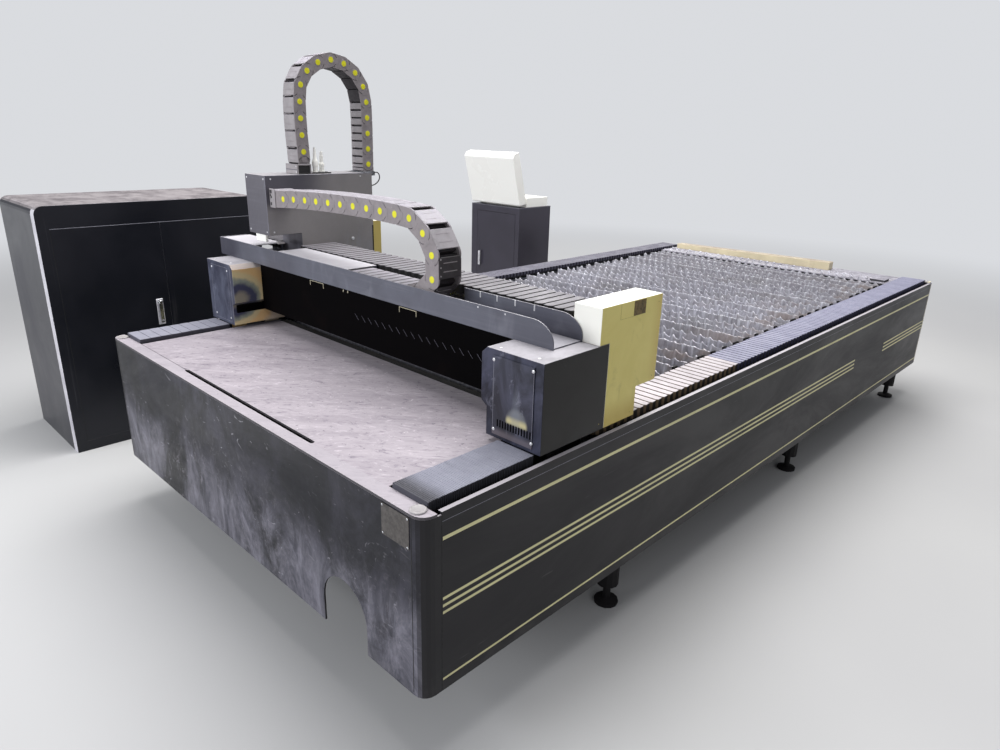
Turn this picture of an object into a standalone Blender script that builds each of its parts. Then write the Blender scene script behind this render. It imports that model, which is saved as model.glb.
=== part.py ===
"""Flat-bed fibre laser cutting machine: bed, gantry, carriage, head, console and cabinet.

Metres, +Z up. The working frame below has x = 0 at the discharge end, y = 0 at the
near long side and z = 0 on the floor. Every node is then moved by SHIFT, so that the
origin lies in the middle of the machine's footprint.
"""

import bpy
import bmesh
import math
from mathutils import Vector

# Bed, measured from the discharge end and the near side
BED_L = 4.85
BED_W = 2.30
BED_TOP = 0.860
SKIRT_LOW = 0.250
SHEET = 0.006
PLATE = 0.008
CORNER_R = 0.045
CORNER_LEG = 0.070
GAP = 0.0005          # between neighbours that only touch
RUN = 0.0025          # between pieces that slide past each other

# Long frame members, guides and the way covers over them
FRAME_IN = 0.0065
FRAME_OUT = 0.220
FRAME_LOW = 0.420
FRAME_TOP = 0.800
FRAME_END = 0.100     # the long members stop this far inside the bed's ends
PAN_H = 0.080
PAN_FLOOR = 0.012
PAN_WALL = 0.015
CROSS_FRONT = (0.752, 0.800)
CROSS_REAR = (4.510, 4.570)
GUIDE_Y = 0.120
GUIDE_W = 0.040
GUIDE_H = 0.034
RACK_Y = 0.175
RACK_W = 0.024
RACK_DROP = 0.004     # the rack's top lies this far under the guide's
COVER_LO = 0.040
COVER_HI = 0.200
COVER_TOP = 0.878
COVER_BOTTOM = 0.842
FOLD_H = 0.014
FRONT_FOLDS = 30
REAR_WIDE_FOLDS = 13
REAR_FINE_FOLDS = 31
REAR_SPLIT = 1.95
END_LAND = 0.055      # top sheet left between the end face and the way covers

# Discharge plate, slats and pit
SEAM_X = 2.465
SKIRT_FOLD = 0.016
PLATE_END = 0.746
PLATE_SIDE = 0.215
SLOT_X = 0.055
SLOT_SIDE = (0.626, 0.713)    # the slot's ends from the near and the far side
SLOT_W = 0.018
CAP_R = 0.024
CAP_H = 0.006
CAP_X = 0.029
CAP_Y = 0.050
CLAMP_X = 0.030       # from the start of the rear plate
CLAMP_Y = 0.240
CLAMP_SIDE = 0.100
CLAMP_H = 0.016
SLAT_FIRST = 0.840
SLAT_LAST = 4.420
SLAT_COUNT = 32
SECTIONS = 4
SLAT_T = 0.003
SLAT_LOW = 0.720
SLAT_ROOT = 0.812
SLAT_TIP = 0.868
SLAT_TEETH = 20
SLAT_BAR_T = 0.012
SLAT_BAR_H = 0.080
SLAT_BAR_LOW = 0.710
SLAT_Y = 0.262
SLAT_INSET = 0.004
REAR_PLATE_START = 4.500
ARCH_Y = 0.398
ARCH_R = 0.122
ARCH_SPRING = 0.350
NAME_Y = (0.057, 0.177)
NAME_Z = (0.748, 0.846)
NAME_PROUD = 0.0015
STRIP_IN = (0.150, 0.070)     # the strip's edges from the bed's far end
STRIP_SIDE = (0.700, 0.250)   # its ends from the near and the far side
STRIP_H = 0.040
STRIP_RISE = 0.020
FOOT_X = (1.06, 2.84, 4.62)
FOOT_Y = 0.100
FOOT_PAD_R = 0.050
FOOT_PAD_H = 0.014
FOOT_SCREW_R = 0.016
FOOT_SCREW_TOP = 0.090
FOOT_LEG_R = 0.045

# Gantry at its stored place by the discharge end
BOX_X = (0.490, 0.818)
BOX_Y = (0.015, 0.257)
BOX_SWELL = 0.025
BOX_STEP = (0.022, 0.101, 0.016)   # swell under the top, over the foot, and its slope
BOX_Z = (0.881, 1.185)
BLOCK_X = (0.52, 0.70)
BLOCK_L = 0.080
BLOCK_SIDE = 0.018
BLOCK_DROP = 0.028
BLOCK_BITE = 0.010    # how far a guide block reaches up into its end box
VENT_X = 0.4865
VENT_Y = (0.050, 0.226)
VENT_Z = (0.895, 1.165)
VENT_COUNT = 13
VENT_FIRST = 0.018    # from the panel's near edge
VENT_PITCH = 0.0114
VENT_SLOT = (0.005, 0.043)
VENT_SLOT_LOW = 0.030
BEAM_X = (0.640, 0.955)
BEAM_Z = (0.950, 1.1845)
BEAM_END = 0.1335
RAIL_Z = (0.030, 0.160)       # above the beam's lower face
RAIL_SIDE = 0.024
RAIL_PROUD = 0.016
COVER_X = (0.765, 1.120)
COVER_STEP_X = 1.000
COVER_STEP_Z = 0.990
COVER_Z_TOP = 1.312
COVER_DEPTH = 0.115
TRAY_X = (0.6135, 0.7635)
TRAY_Y = (0.087, BED_W + 0.080)
TRAY_T = 0.004
TRAY_TOP = 1.272
TRAY_R = 0.060
TRAY_STOP = 0.040
TRAY_STOP_IN = 0.220  # from the trough's far end to the stop block
TRAY_STOP_TOP = 1.300
BEAM_GUIDE_X = (0.765, 0.975)
BEAM_GUIDE_Y = (BEAM_END, BED_W - 0.015)
BEAM_GUIDE_T = 0.014
BEAM_RAIL_H = 0.035
BEAM_RAIL_W = 0.040
BEAM_RAIL_END = 0.010
BEAM_COVER_X = (0.770, 0.972)
BEAM_COVER_Z = (1.240, 1.278)
BEAM_FOLDS = 38
BEAM_FAR_FOLDS = 16

# Carriage, chains and head
CAR_X = (0.612, 1.165)
CAR_FAR = 0.260       # from the bed's far side to the stored carriage
CAR_W = 0.190
CAR_Y = (BED_W - CAR_FAR - CAR_W, BED_W - CAR_FAR)
CAR_Z = (1.337, 1.612)
CAR_FRONT_X = 0.985
CAR_FRONT_LOW = 1.020
CAR_BASE_X = 0.785
CHEEK_END = 1.2115
CHEEK_LOW = 1.200
CHAIN_X = (0.628, 0.743)
CHAIN_H = 0.080
CHAIN_LOW_Z = 1.230
CHAIN_R = 0.150
CHAIN_REACH = 1.010   # from the stored carriage to the middle of the bend
CHAIN_BACK = 0.560    # from the bend to the chain's fixed end
CHAIN_BEND_Y = CAR_Y[0] - CHAIN_REACH
CHAIN_FIXED_Y = CHAIN_BEND_Y + CHAIN_BACK
CHAIN_CAMBER = 0.010
CHAIN_WAIST = 0.005   # how far a chain draws in between two links
CHAIN_EDGE = 0.0035   # rounding of a link's ends
LID_PLATE_REACH = 0.636
LID_PLATE_Y = (CAR_Y[0] - LID_PLATE_REACH, CAR_Y[0] + 0.008)
LID_PLATE_T = 0.002
Z_CHAIN_Y = (CAR_Y[0] + 0.020, CAR_Y[0] + 0.120)
Z_CHAIN_H = 0.068
Z_CHAIN_X = (0.832, 1.210)
Z_CHAIN_TOP = 1.945
Z_CHAIN_FOOT = 1.660
Z_CHAIN_LIFT = 0.006  # the chain's head end stands this far above the box
BRACKET_SIDE = 0.004
BRACKET_FOOT = 0.158  # from the chain's left leg to the foot's end
VALVE = (0.915, 0.055)        # place along the box, and from its near cheek
PORT = (0.958, 0.065)
SLIDE_T = 0.009
SLIDE_TOP = 1.610
HANGER_LOW = 1.596
HEAD_TOP = 1.366
HEAD_LOW = 1.130
HEAD_END = 1.267
NOZZLE_Z = 1.000
HOSE_R = 0.0028
HOSE_Z = (1.602, 1.548)
HOSE_OUT = (0.0385, 0.0505)   # how far the loop's two bends stand out

# Console and cabinet, which stand on the floor behind the bed
CON_START = 3.600
CON_DEPTH = 0.420
CON_FRONT = 0.700     # clear floor between the bed and the console
CON_WIDTH = 0.600
CON_X = (CON_START, CON_START + CON_DEPTH)
CON_Y = (BED_W + CON_FRONT, BED_W + CON_FRONT + CON_WIDTH)
CON_TOP = 1.188
CON_DOOR_SIDE = (0.047, 0.073)
CON_DOOR_Y = (CON_Y[0] + CON_DOOR_SIDE[0], CON_Y[1] - CON_DOOR_SIDE[1])
CON_DOOR_Z = (0.100, 1.130)
CON_WALL = 0.030
DOOR_T = 0.016
GRIP_IN = 0.045       # from the door's free edge to the grip's middle
GRIP_Z = (0.628, 0.763)
GRIP_SIDE = 0.014
GRIP_STAND = 0.014
POST_SIDE = 0.010
COMPUTER = (0.280, 0.250, 0.4195)
COMPUTER_IN = (0.080, 0.150)
DESK_IN = (0.105, 0.035)      # from the housing's back and front
DESK_SIDE = 0.010
DESK_TOP = 1.268
DESK_X = (CON_X[0] + DESK_IN[0], CON_X[1] - DESK_IN[1])
DESK_RIM = (0.045, 0.040, 0.050, 0.070)
DESK_WELL = 0.014
KEYS_RIM = (0.015, 0.020)
KEYS_DROP = 0.003
LID_AXIS = (DESK_X[0] - 0.015, DESK_TOP - 0.002)
HINGE_R = 0.0115
HINGE_L = 0.080
HINGE_END = 0.020
LEAF = (0.012, 0.001)         # the leaf's faces under the desk's top
STOP_IN = 0.120       # from the console's near side to the emergency stop
STOP_Z = 1.060
STOP_STEM_R = 0.0115
STOP_HEAD_R = 0.020
LID_LEAN = math.radians(14.8)
LID_U = (-0.040, 0.408)
LID_T = (0.012, 0.100)
SCREEN_U = (0.045, 0.345)
SCREEN_SIDE = 0.075
SCREEN_WELL = 0.020
SCREEN_T = 0.0055
CAB_START = -0.060
CAB_LENGTH = 1.250
CAB_FRONT = 0.750     # clear floor between the bed and the cabinet
CAB_DEPTH = 0.700
CAB_X = (CAB_START, CAB_START + CAB_LENGTH)
CAB_Y = (BED_W + CAB_FRONT, BED_W + CAB_FRONT + CAB_DEPTH)
CAB_TOP = 1.403
CAB_FRAME = 0.060
CAB_BACK = 0.030
CAB_DOOR_TOP = 1.280
CAB_R = 0.045
HANDLE_IN = 0.060     # from the left door's free edge to the pivot
HANDLE_Z = 0.815
HANDLE_R = 0.013
HANDLE_OUT = 0.022
LEVER_W = 0.018
LEVER_T = 0.012
LEVER_Z = (-0.125, 0.007)
BOARD_X = (0.060, 0.025)      # clear of the left wall and of the doors' seam
BOARD_Z = (0.090, 1.160)      # from the cavity's floor
BOARD_T = 0.004
DRIVES = ((0.030, 0.750, 0.090, 0.200), (0.150, 0.750, 0.090, 0.200),
          (0.270, 0.750, 0.160, 0.200), (0.030, 0.350, 0.300, 0.160))
DRIVE_DEPTH = 0.156
SOURCE_H = 0.5595
SOURCE_X = (0.055, 0.050)     # clear of the doors' seam and of the right wall
SOURCE_Y = (0.090, 0.060)     # clear of the cabinet's front and of the back wall

SHIFT = Vector((-(CAB_X[0] + BED_L) / 2, -CAB_Y[1] / 2, 0.0))

MATERIALS = {
    "black_paint": ((0.045, 0.045, 0.050), 0.15, 0.50),
    "frame_paint": ((0.050, 0.050, 0.055), 0.10, 0.60),
    "dusty_steel": ((0.520, 0.500, 0.520), 0.70, 0.45),
    "slat_steel": ((0.480, 0.480, 0.530), 0.80, 0.40),
    "guide_steel": ((0.550, 0.560, 0.580), 0.90, 0.25),
    "bellows_cloth": ((0.200, 0.200, 0.240), 0.00, 0.70),
    "shield_steel": ((0.320, 0.350, 0.390), 0.75, 0.35),
    "cream_paint": ((0.800, 0.780, 0.660), 0.00, 0.45),
    "white_paint": ((0.880, 0.880, 0.860), 0.00, 0.40),
    "chain_plastic": ((0.330, 0.320, 0.350), 0.00, 0.55),
    "black_plastic": ((0.030, 0.030, 0.032), 0.00, 0.45),
    "brass": ((0.700, 0.520, 0.250), 0.90, 0.30),
    "screen_glass": ((0.020, 0.022, 0.026), 0.00, 0.10),
    "red_plastic": ((0.600, 0.030, 0.030), 0.00, 0.35),
    "chrome": ((0.700, 0.700, 0.720), 1.00, 0.15),
}


def start():
    for block in list(bpy.data.objects):
        bpy.data.objects.remove(block, do_unlink=True)
    made = {}
    for name in ("laser_cutter", "cutters"):
        made[name] = bpy.data.collections.new(name)
        bpy.context.scene.collection.children.link(made[name])
    return made["laser_cutter"], made["cutters"]


PARTS, CUTTERS = start()


def material(slot):
    mat = bpy.data.materials.get(slot)
    if mat is None:
        color, metal, rough = MATERIALS[slot]
        mat = bpy.data.materials.new(slot)
        mat.use_nodes = True
        shader = mat.node_tree.nodes["Principled BSDF"]
        shader.inputs["Base Color"].default_value = (*color, 1.0)
        shader.inputs["Metallic"].default_value = metal
        shader.inputs["Roughness"].default_value = rough
    return mat


def finish(bm, name, slot, at, smooth=False):
    """Stores a mesh as a node, or as a hidden cutter where it has no slot."""
    bmesh.ops.recalc_face_normals(bm, faces=bm.faces)
    origin = Vector(at)
    bmesh.ops.translate(bm, verts=bm.verts, vec=-origin)
    mesh = bpy.data.meshes.new(name)
    bm.to_mesh(mesh)
    bm.free()
    node = bpy.data.objects.new(name, mesh)
    node.location = origin + SHIFT
    if slot is None:
        CUTTERS.objects.link(node)
        node.hide_render = True
        node.display_type = "WIRE"
        return node
    PARTS.objects.link(node)
    mesh.materials.append(material(slot))
    if smooth:
        mesh.shade_smooth()
        mesh.set_sharp_from_angle(angle=math.radians(35))
    return node


def box(name, slot, x, y, z, at=None):
    """A block between the two ends given for each axis."""
    bm = bmesh.new()
    bmesh.ops.create_cube(bm, size=1.0)
    for vert in bm.verts:
        vert.co = Vector(
            ends[0] if side < 0 else ends[1] for ends, side in zip((x, y, z), vert.co)
        )
    centre = [(ends[0] + ends[1]) / 2 for ends in (x, y, z)]
    return finish(bm, name, slot, at or centre)


def place(plane, u, v, w):
    """The point that lies at (u, v) in the plane and at w along its normal."""
    return {"XY": (u, v, w), "XZ": (u, w, v), "YZ": (w, u, v)}[plane]


def prism(name, slot, plane, outline, ends, at=None, smooth=False):
    """An outline in a plane, drawn out between two ends along the plane's normal."""
    bm = bmesh.new()
    base = bm.faces.new([bm.verts.new(place(plane, u, v, ends[0])) for u, v in outline])
    moved = bmesh.ops.extrude_face_region(bm, geom=[base])
    step = Vector(place(plane, 0, 0, ends[1] - ends[0]))
    verts = [part for part in moved["geom"] if isinstance(part, bmesh.types.BMVert)]
    bmesh.ops.translate(bm, verts=verts, vec=step)
    return finish(bm, name, slot, at or place(plane, *outline[0], ends[0]), smooth)


def loft(name, slot, rings, at=None, smooth=False):
    """A closed skin through rings of equal length, with a cap on each end."""
    bm = bmesh.new()
    rows = [[bm.verts.new(point) for point in ring] for ring in rings]
    count = len(rows[0])
    for row, nxt in zip(rows, rows[1:]):
        for i in range(count):
            k = (i + 1) % count
            bm.faces.new((row[i], row[k], nxt[k], nxt[i]))
    bm.faces.new(rows[0])
    bm.faces.new(rows[-1])
    return finish(bm, name, slot, at or rings[0][0], smooth)


def turned(name, slot, centre, axis, profile, sides=12):
    """A round piece: profile holds (distance along the axis, radius)."""
    rings = []
    for along, radius in profile:
        ring = []
        for i in range(sides):
            a = 2 * math.pi * i / sides
            u, v = radius * math.cos(a), radius * math.sin(a)
            offset = {"X": (along, u, v), "Y": (u, along, v), "Z": (u, v, along)}[axis]
            ring.append(Vector(centre) + Vector(offset))
        rings.append(ring)
    return loft(name, slot, rings, at=centre, smooth=True)


def combine(node, operation, *others):
    for other in others:
        step = node.modifiers.new(operation.lower(), "BOOLEAN")
        step.operation = operation
        step.solver = "EXACT"
        step.object = other
    return node


def weld(node, pieces):
    """Joins many pieces to a node in one step."""
    group = bpy.data.collections.new(node.name + "_pieces")
    CUTTERS.children.link(group)
    for piece in pieces:
        CUTTERS.objects.unlink(piece)
        group.objects.link(piece)
    step = node.modifiers.new("weld", "BOOLEAN")
    step.operation = "UNION"
    step.solver = "EXACT"
    step.operand_type = "COLLECTION"
    step.collection = group


def corner(centre, radius, start, end, steps=5):
    """Points of a rounded corner, from one angle in degrees to another."""
    points = []
    for i in range(steps + 1):
        a = math.radians(start + (end - start) * i / steps)
        points.append((centre[0] + radius * math.cos(a), centre[1] + radius * math.sin(a)))
    return points


def far(y):
    """The same place seen from the far side of the bed."""
    return BED_W - y


def both(lo, hi, near):
    return (lo, hi) if near else (far(hi), far(lo))


def bed_frame():
    """The welded frame with its feet, and the scrap pan inside it."""
    x = (FRAME_END, BED_L - FRAME_END)
    z = (FRAME_LOW, FRAME_TOP)
    node = box("frame", "frame_paint", x, both(FRAME_IN, FRAME_OUT, True), z)
    member = box("member_add", None, x, both(FRAME_IN, FRAME_OUT, False), z)
    cross_y = (FRAME_OUT - SHEET, far(FRAME_OUT - SHEET))
    cross_z = (FRAME_LOW + SHEET, BED_TOP - PLATE - GAP)
    front = box("cross_add_front", None, CROSS_FRONT, cross_y, cross_z)
    rear = box("cross_add_rear", None, CROSS_REAR, cross_y, cross_z)
    combine(node, "UNION", member, front, rear)
    profile = [
        (0.0, FOOT_PAD_R),
        (FOOT_PAD_H, FOOT_PAD_R),
        (FOOT_PAD_H * 1.6, FOOT_SCREW_R),
        (FOOT_SCREW_TOP, FOOT_SCREW_R),
        (FOOT_SCREW_TOP + 0.002, FOOT_LEG_R),
        (FRAME_LOW - GAP, FOOT_LEG_R),
    ]
    for side, near in (("near", True), ("far", False)):
        for i, foot_x in enumerate(FOOT_X):
            centre = (foot_x, FOOT_Y if near else far(FOOT_Y), 0.0)
            turned("foot_%s_%d" % (side, i + 1), "frame_paint", centre, "Z", profile)
    inside_x = (CROSS_FRONT[1] + GAP, CROSS_REAR[0] - GAP)
    inside_y = (FRAME_OUT + GAP, far(FRAME_OUT + GAP))
    low, high = FRAME_LOW, FRAME_LOW + PAN_H
    pan = box("scrap_tray", "frame_paint", inside_x, inside_y, (low, high))
    hollow_x = (inside_x[0] + PAN_WALL, inside_x[1] - PAN_WALL)
    hollow_y = (inside_y[0] + PAN_WALL, inside_y[1] - PAN_WALL)
    hollow = box("scrap_cut", None, hollow_x, hollow_y, (low + PAN_FLOOR, high + PAN_FLOOR))
    combine(pan, "DIFFERENCE", hollow)


def guides():
    top = FRAME_TOP + GAP
    for side, near in (("near", True), ("far", False)):
        rail_y = both(GUIDE_Y - GUIDE_W / 2, GUIDE_Y + GUIDE_W / 2, near)
        rack_y = both(RACK_Y - RACK_W / 2, RACK_Y + RACK_W / 2, near)
        x = (FRAME_END, BED_L - FRAME_END)
        rail = box("guide_" + side, "guide_steel", x, rail_y, (top, top + GUIDE_H))
        rack = box("rack_add_" + side, None, x, rack_y, (top, top + GUIDE_H - RACK_DROP))
        web_x = (x[0] + SHEET, x[1] - SHEET)
        web_y = both(GUIDE_Y, RACK_Y, near)
        web = box("web_add_" + side, None, web_x, web_y, (top, top + SHEET))
        combine(rail, "UNION", rack, web)


def skirts():
    """Side panels with a folded top edge, in two lengths a side."""
    seam = SEAM_X
    lengths = (("a", CORNER_LEG + GAP, seam), ("b", seam + GAP, BED_L - CORNER_LEG - GAP))
    for side, near in (("near", True), ("far", False)):
        for tag, x0, x1 in lengths:
            outline = [
                (0.0, SKIRT_LOW),
                (0.0, BED_TOP),
                (SKIRT_FOLD, BED_TOP),
                (SKIRT_FOLD, BED_TOP - SHEET),
                (SHEET, BED_TOP - SHEET),
                (SHEET, SKIRT_LOW),
            ]
            outline = [(y if near else far(y), z) for y, z in outline]
            prism("panel_%s_%s" % (side, tag), "black_paint", "YZ", outline, (x0, x1))


def end_cover(name, front):
    """A bent sheet round one end, with a rounded corner and a short leg at each side."""
    def turn(points):
        return [(x if front else BED_L - x, y) for x, y in points]

    r, t = CORNER_R, SHEET
    outer = [(CORNER_LEG, 0.0)] + corner((r, r), r, 270, 180)
    outer += corner((r, BED_W - r), r, 180, 90) + [(CORNER_LEG, BED_W)]
    inner = [(CORNER_LEG, BED_W - t)] + corner((r, BED_W - r), r - t, 90, 180)
    inner += corner((r, r), r - t, 180, 270) + [(CORNER_LEG, t)]
    z = (SKIRT_LOW, BED_TOP - PLATE - GAP)
    cover = prism(name, "black_paint", "XY", turn(outer + inner), z, smooth=True)
    if front:
        arch = [(ARCH_Y + ARCH_R, SKIRT_LOW - t)]
        arch += corner((ARCH_Y, ARCH_SPRING), ARCH_R, 0, 180, 14)
        arch += [(ARCH_Y - ARCH_R, SKIRT_LOW - t)]
        combine(cover, "DIFFERENCE", prism("arch_cut", None, "YZ", arch, (-t, 2 * t)))
        plate = box("name_add", None, (-NAME_PROUD, t / 2), NAME_Y, NAME_Z)
        combine(cover, "UNION", plate)
    return cover


def land_outline(start, side, mirror):
    """A top sheet: full width over the end, narrower between the way covers."""
    r = CORNER_R
    half = corner((r, r), r, 180, 270) + [(END_LAND, 0.0), (END_LAND, side), (start, side)]
    points = half + [(x, BED_W - y) for x, y in reversed(half)]
    return [(BED_L - x if mirror else x, y) for x, y in points]


def caps(node, xs, z):
    for i, x in enumerate(xs):
        for j, y in enumerate((CAP_Y, far(CAP_Y))):
            profile = [(-PLATE / 2, CAP_R), (CAP_H * 0.7, CAP_R), (CAP_H, CAP_R * 0.8)]
            cap = turned("cap_add_%s_%d%d" % (node.name, i, j), None, (x, y, z), "Z", profile)
            combine(node, "UNION", cap)


def top_sheets():
    z = (BED_TOP - PLATE, BED_TOP)
    plate = prism(
        "discharge_plate", "dusty_steel", "XY", land_outline(PLATE_END, PLATE_SIDE, False), z
    )
    r = SLOT_W / 2
    slot = corner((SLOT_X, far(SLOT_SIDE[1])), r, 0, 180, 6)
    slot += corner((SLOT_X, SLOT_SIDE[0]), r, 180, 360, 6)
    slot_z = (z[0] - PLATE, z[1] + PLATE)
    combine(plate, "DIFFERENCE", prism("slot_cut", None, "XY", slot, slot_z))
    caps(plate, (CAP_X,), BED_TOP)
    rear = prism(
        "rear_plate", "dusty_steel", "XY",
        land_outline(BED_L - REAR_PLATE_START, PLATE_SIDE, True), z,
    )
    caps(rear, (BED_L - CAP_X,), BED_TOP)
    start = REAR_PLATE_START + CLAMP_X
    clamp = box("clamp_add", None, (start, start + CLAMP_SIDE), (CLAMP_Y, CLAMP_Y + CLAMP_SIDE),
                (BED_TOP - PLATE / 2, BED_TOP + CLAMP_H))
    combine(rear, "UNION", clamp)
    low, high = BED_TOP + GAP, BED_TOP + STRIP_H
    x0, x1 = BED_L - STRIP_IN[0], BED_L - STRIP_IN[1]
    rings = []
    for y, top in ((STRIP_SIDE[0], high + STRIP_RISE), (far(STRIP_SIDE[1]), high)):
        rings.append([(x0, y, low), (x1, y, low), (x1, y, top), (x0, y, top)])
    loft("end_strip", "cream_paint", rings)


def slats():
    """The grate in sections: toothed slats across the bed, welded between two bars."""
    ends = (SLAT_Y + SLAT_INSET, far(SLAT_Y + SLAT_INSET))
    pitch = (ends[1] - ends[0]) / SLAT_TEETH
    outline = [(ends[0], SLAT_LOW)]
    for i in range(SLAT_TEETH):
        outline.append((ends[0] + i * pitch, SLAT_ROOT))
        outline.append((ends[0] + (i + 0.5) * pitch, SLAT_TIP))
    outline += [(ends[1], SLAT_ROOT), (ends[1], SLAT_LOW)]
    step = (SLAT_LAST - SLAT_FIRST) / (SLAT_COUNT - 1)
    z_ends = (SLAT_BAR_LOW, SLAT_BAR_LOW + SLAT_BAR_H)
    share = SLAT_COUNT // SECTIONS
    for section in range(SECTIONS):
        first = section * share
        x0 = SLAT_FIRST + (first - 0.5) * step + GAP if section else CROSS_FRONT[1] + GAP
        last = section == SECTIONS - 1
        x1 = CROSS_REAR[0] - GAP if last else SLAT_FIRST + (first + share - 0.5) * step
        pieces = []
        for i in range(first, first + share):
            x = SLAT_FIRST + i * step
            ends_x = (x - SLAT_T / 2, x + SLAT_T / 2)
            pieces.append(prism("slat_%02d" % i, None, "YZ", outline, ends_x))
        bar = (SLAT_Y, SLAT_Y + SLAT_BAR_T)
        name = "slat_section_%d" % (section + 1)
        node = box(name, "slat_steel", (x0, x1), both(*bar, True), z_ends)
        pieces.append(box("bar_add_%d" % section, None, (x0, x1), both(*bar, False), z_ends))
        weld(node, pieces)


def folded(name, axis, stations, across, z):
    """A folding cover: each station is (place along the axis, is it a ridge)."""
    rings = []
    for along, ridge in stations:
        inset = 0.0 if ridge else FOLD_H * 0.6
        top = z[1] if ridge else z[1] - FOLD_H
        lo, hi = across[0] + inset, across[1] - inset
        flat = [(lo, z[0]), (hi, z[0]), (hi, top), (lo, top)]
        if axis == "X":
            rings.append([(along, c, h) for c, h in flat])
        else:
            rings.append([(c, along, h) for c, h in flat])
    return loft(name, "bellows_cloth", rings)


def folds(start, end, count):
    step = (end - start) / (2 * count)
    return [(start + i * step, i % 2 == 1) for i in range(2 * count + 1)]


def way_covers():
    z = (COVER_BOTTOM, COVER_TOP)
    front = folds(END_LAND + GAP, BOX_X[0] - GAP, FRONT_FOLDS)
    rear_start = BOX_X[1] + GAP
    rear_end = BED_L - END_LAND - GAP
    rear = folds(rear_start, REAR_SPLIT, REAR_WIDE_FOLDS)
    rear += folds(REAR_SPLIT, rear_end, REAR_FINE_FOLDS)[1:]
    for side, near in (("near", True), ("far", False)):
        across = both(COVER_LO, COVER_HI, near)
        folded("bellows_%s_front" % side, "X", front, across, z)
        folded("bellows_%s_rear" % side, "X", rear, across, z)


def end_boxes():
    """Covers over the gantry's end carriages, with the guide blocks under them."""
    top = FRAME_TOP + GAP + GUIDE_H
    for side, near in (("near", True), ("far", False)):
        z0, z1 = BOX_Z
        y0, y1 = BOX_Y
        under, over, slope = BOX_STEP
        outline = [
            (y0, z0), (y0, z1), (y1, z1), (y1 + BOX_SWELL, z1 - under),
            (y1 + BOX_SWELL, z0 + over + slope), (y1, z0 + over), (y1, z0),
        ]
        outline = [(y if near else far(y), z) for y, z in outline]
        shell = prism("end_box_" + side, "black_paint", "YZ", outline, BOX_X)
        half = GUIDE_W / 2 + RUN
        for i, x in enumerate(BLOCK_X):
            out, low, high = half + BLOCK_SIDE, top - BLOCK_DROP, z0 + BLOCK_BITE
            saddle = [
                (-out, low), (-out, high), (out, high), (out, low + SHEET),
                (half, low + SHEET), (half, top + GAP), (-half, top + GAP), (-half, low),
            ]
            saddle = [(GUIDE_Y + u, z) if near else (far(GUIDE_Y) - u, z) for u, z in saddle]
            block = prism("saddle_add_%s_%d" % (side, i), None, "YZ", saddle, (x, x + BLOCK_L))
            combine(shell, "UNION", block)
    panel = box("vent_panel", "black_paint", (VENT_X, BOX_X[0] - GAP), VENT_Y, VENT_Z)
    low = VENT_Z[0] + VENT_SLOT_LOW
    for i in range(VENT_COUNT):
        y = VENT_Y[0] + VENT_FIRST + VENT_PITCH * i
        slot = box("vent_cut_%02d" % i, None, (VENT_X - SHEET, BOX_X[0] + SHEET),
                   (y, y + VENT_SLOT[0]), (low, low + VENT_SLOT[1]))
        combine(panel, "DIFFERENCE", slot)


def beam():
    x0, x1 = BEAM_X
    core = (BOX_Y[1] + BOX_SWELL + GAP, far(BOX_Y[1] + BOX_SWELL) - GAP)
    body = box("beam", "black_paint", BEAM_X, core, BEAM_Z)
    tongue = box("tongue_add", None, (BOX_X[1] + GAP, x1), (BEAM_END, far(BEAM_END)), BEAM_Z)
    rails = []
    for i, lift in enumerate(RAIL_Z):
        z = BEAM_Z[0] + lift
        rails.append(box("rail_add_%d" % i, None, (x1 - SHEET, x1 + RAIL_PROUD), core,
                         (z, z + RAIL_SIDE)))
    combine(body, "UNION", tongue, *rails)
    low = BOX_Z[1] + GAP
    guide = box("beam_guide", "guide_steel", BEAM_GUIDE_X, BEAM_GUIDE_Y, (low, low + BEAM_GUIDE_T))
    mid = sum(BEAM_GUIDE_X) / 2
    rail = box("beam_rail_add", None, (mid - BEAM_RAIL_W / 2, mid + BEAM_RAIL_W / 2),
               (BEAM_GUIDE_Y[0] + BEAM_RAIL_END, BEAM_GUIDE_Y[1] - BEAM_RAIL_END),
               (low + BEAM_GUIDE_T / 2, low + BEAM_GUIDE_T + BEAM_RAIL_H))
    combine(guide, "UNION", rail)
    z0, step_z, z1 = BOX_Z[0], COVER_STEP_Z, COVER_Z_TOP
    left = BOX_X[1] + GAP
    outline = [
        (left, z0), (left, BOX_Z[1] + GAP), (COVER_X[0], BOX_Z[1] + GAP),
        (COVER_X[0], z1), (COVER_X[1], z1), (COVER_X[1], step_z), (COVER_STEP_X, step_z),
        (COVER_STEP_X, z0),
    ]
    y = (BOX_Y[0], BOX_Y[0] + COVER_DEPTH)
    prism("beam_end_cover", "cream_paint", "XZ", outline, y)


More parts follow.
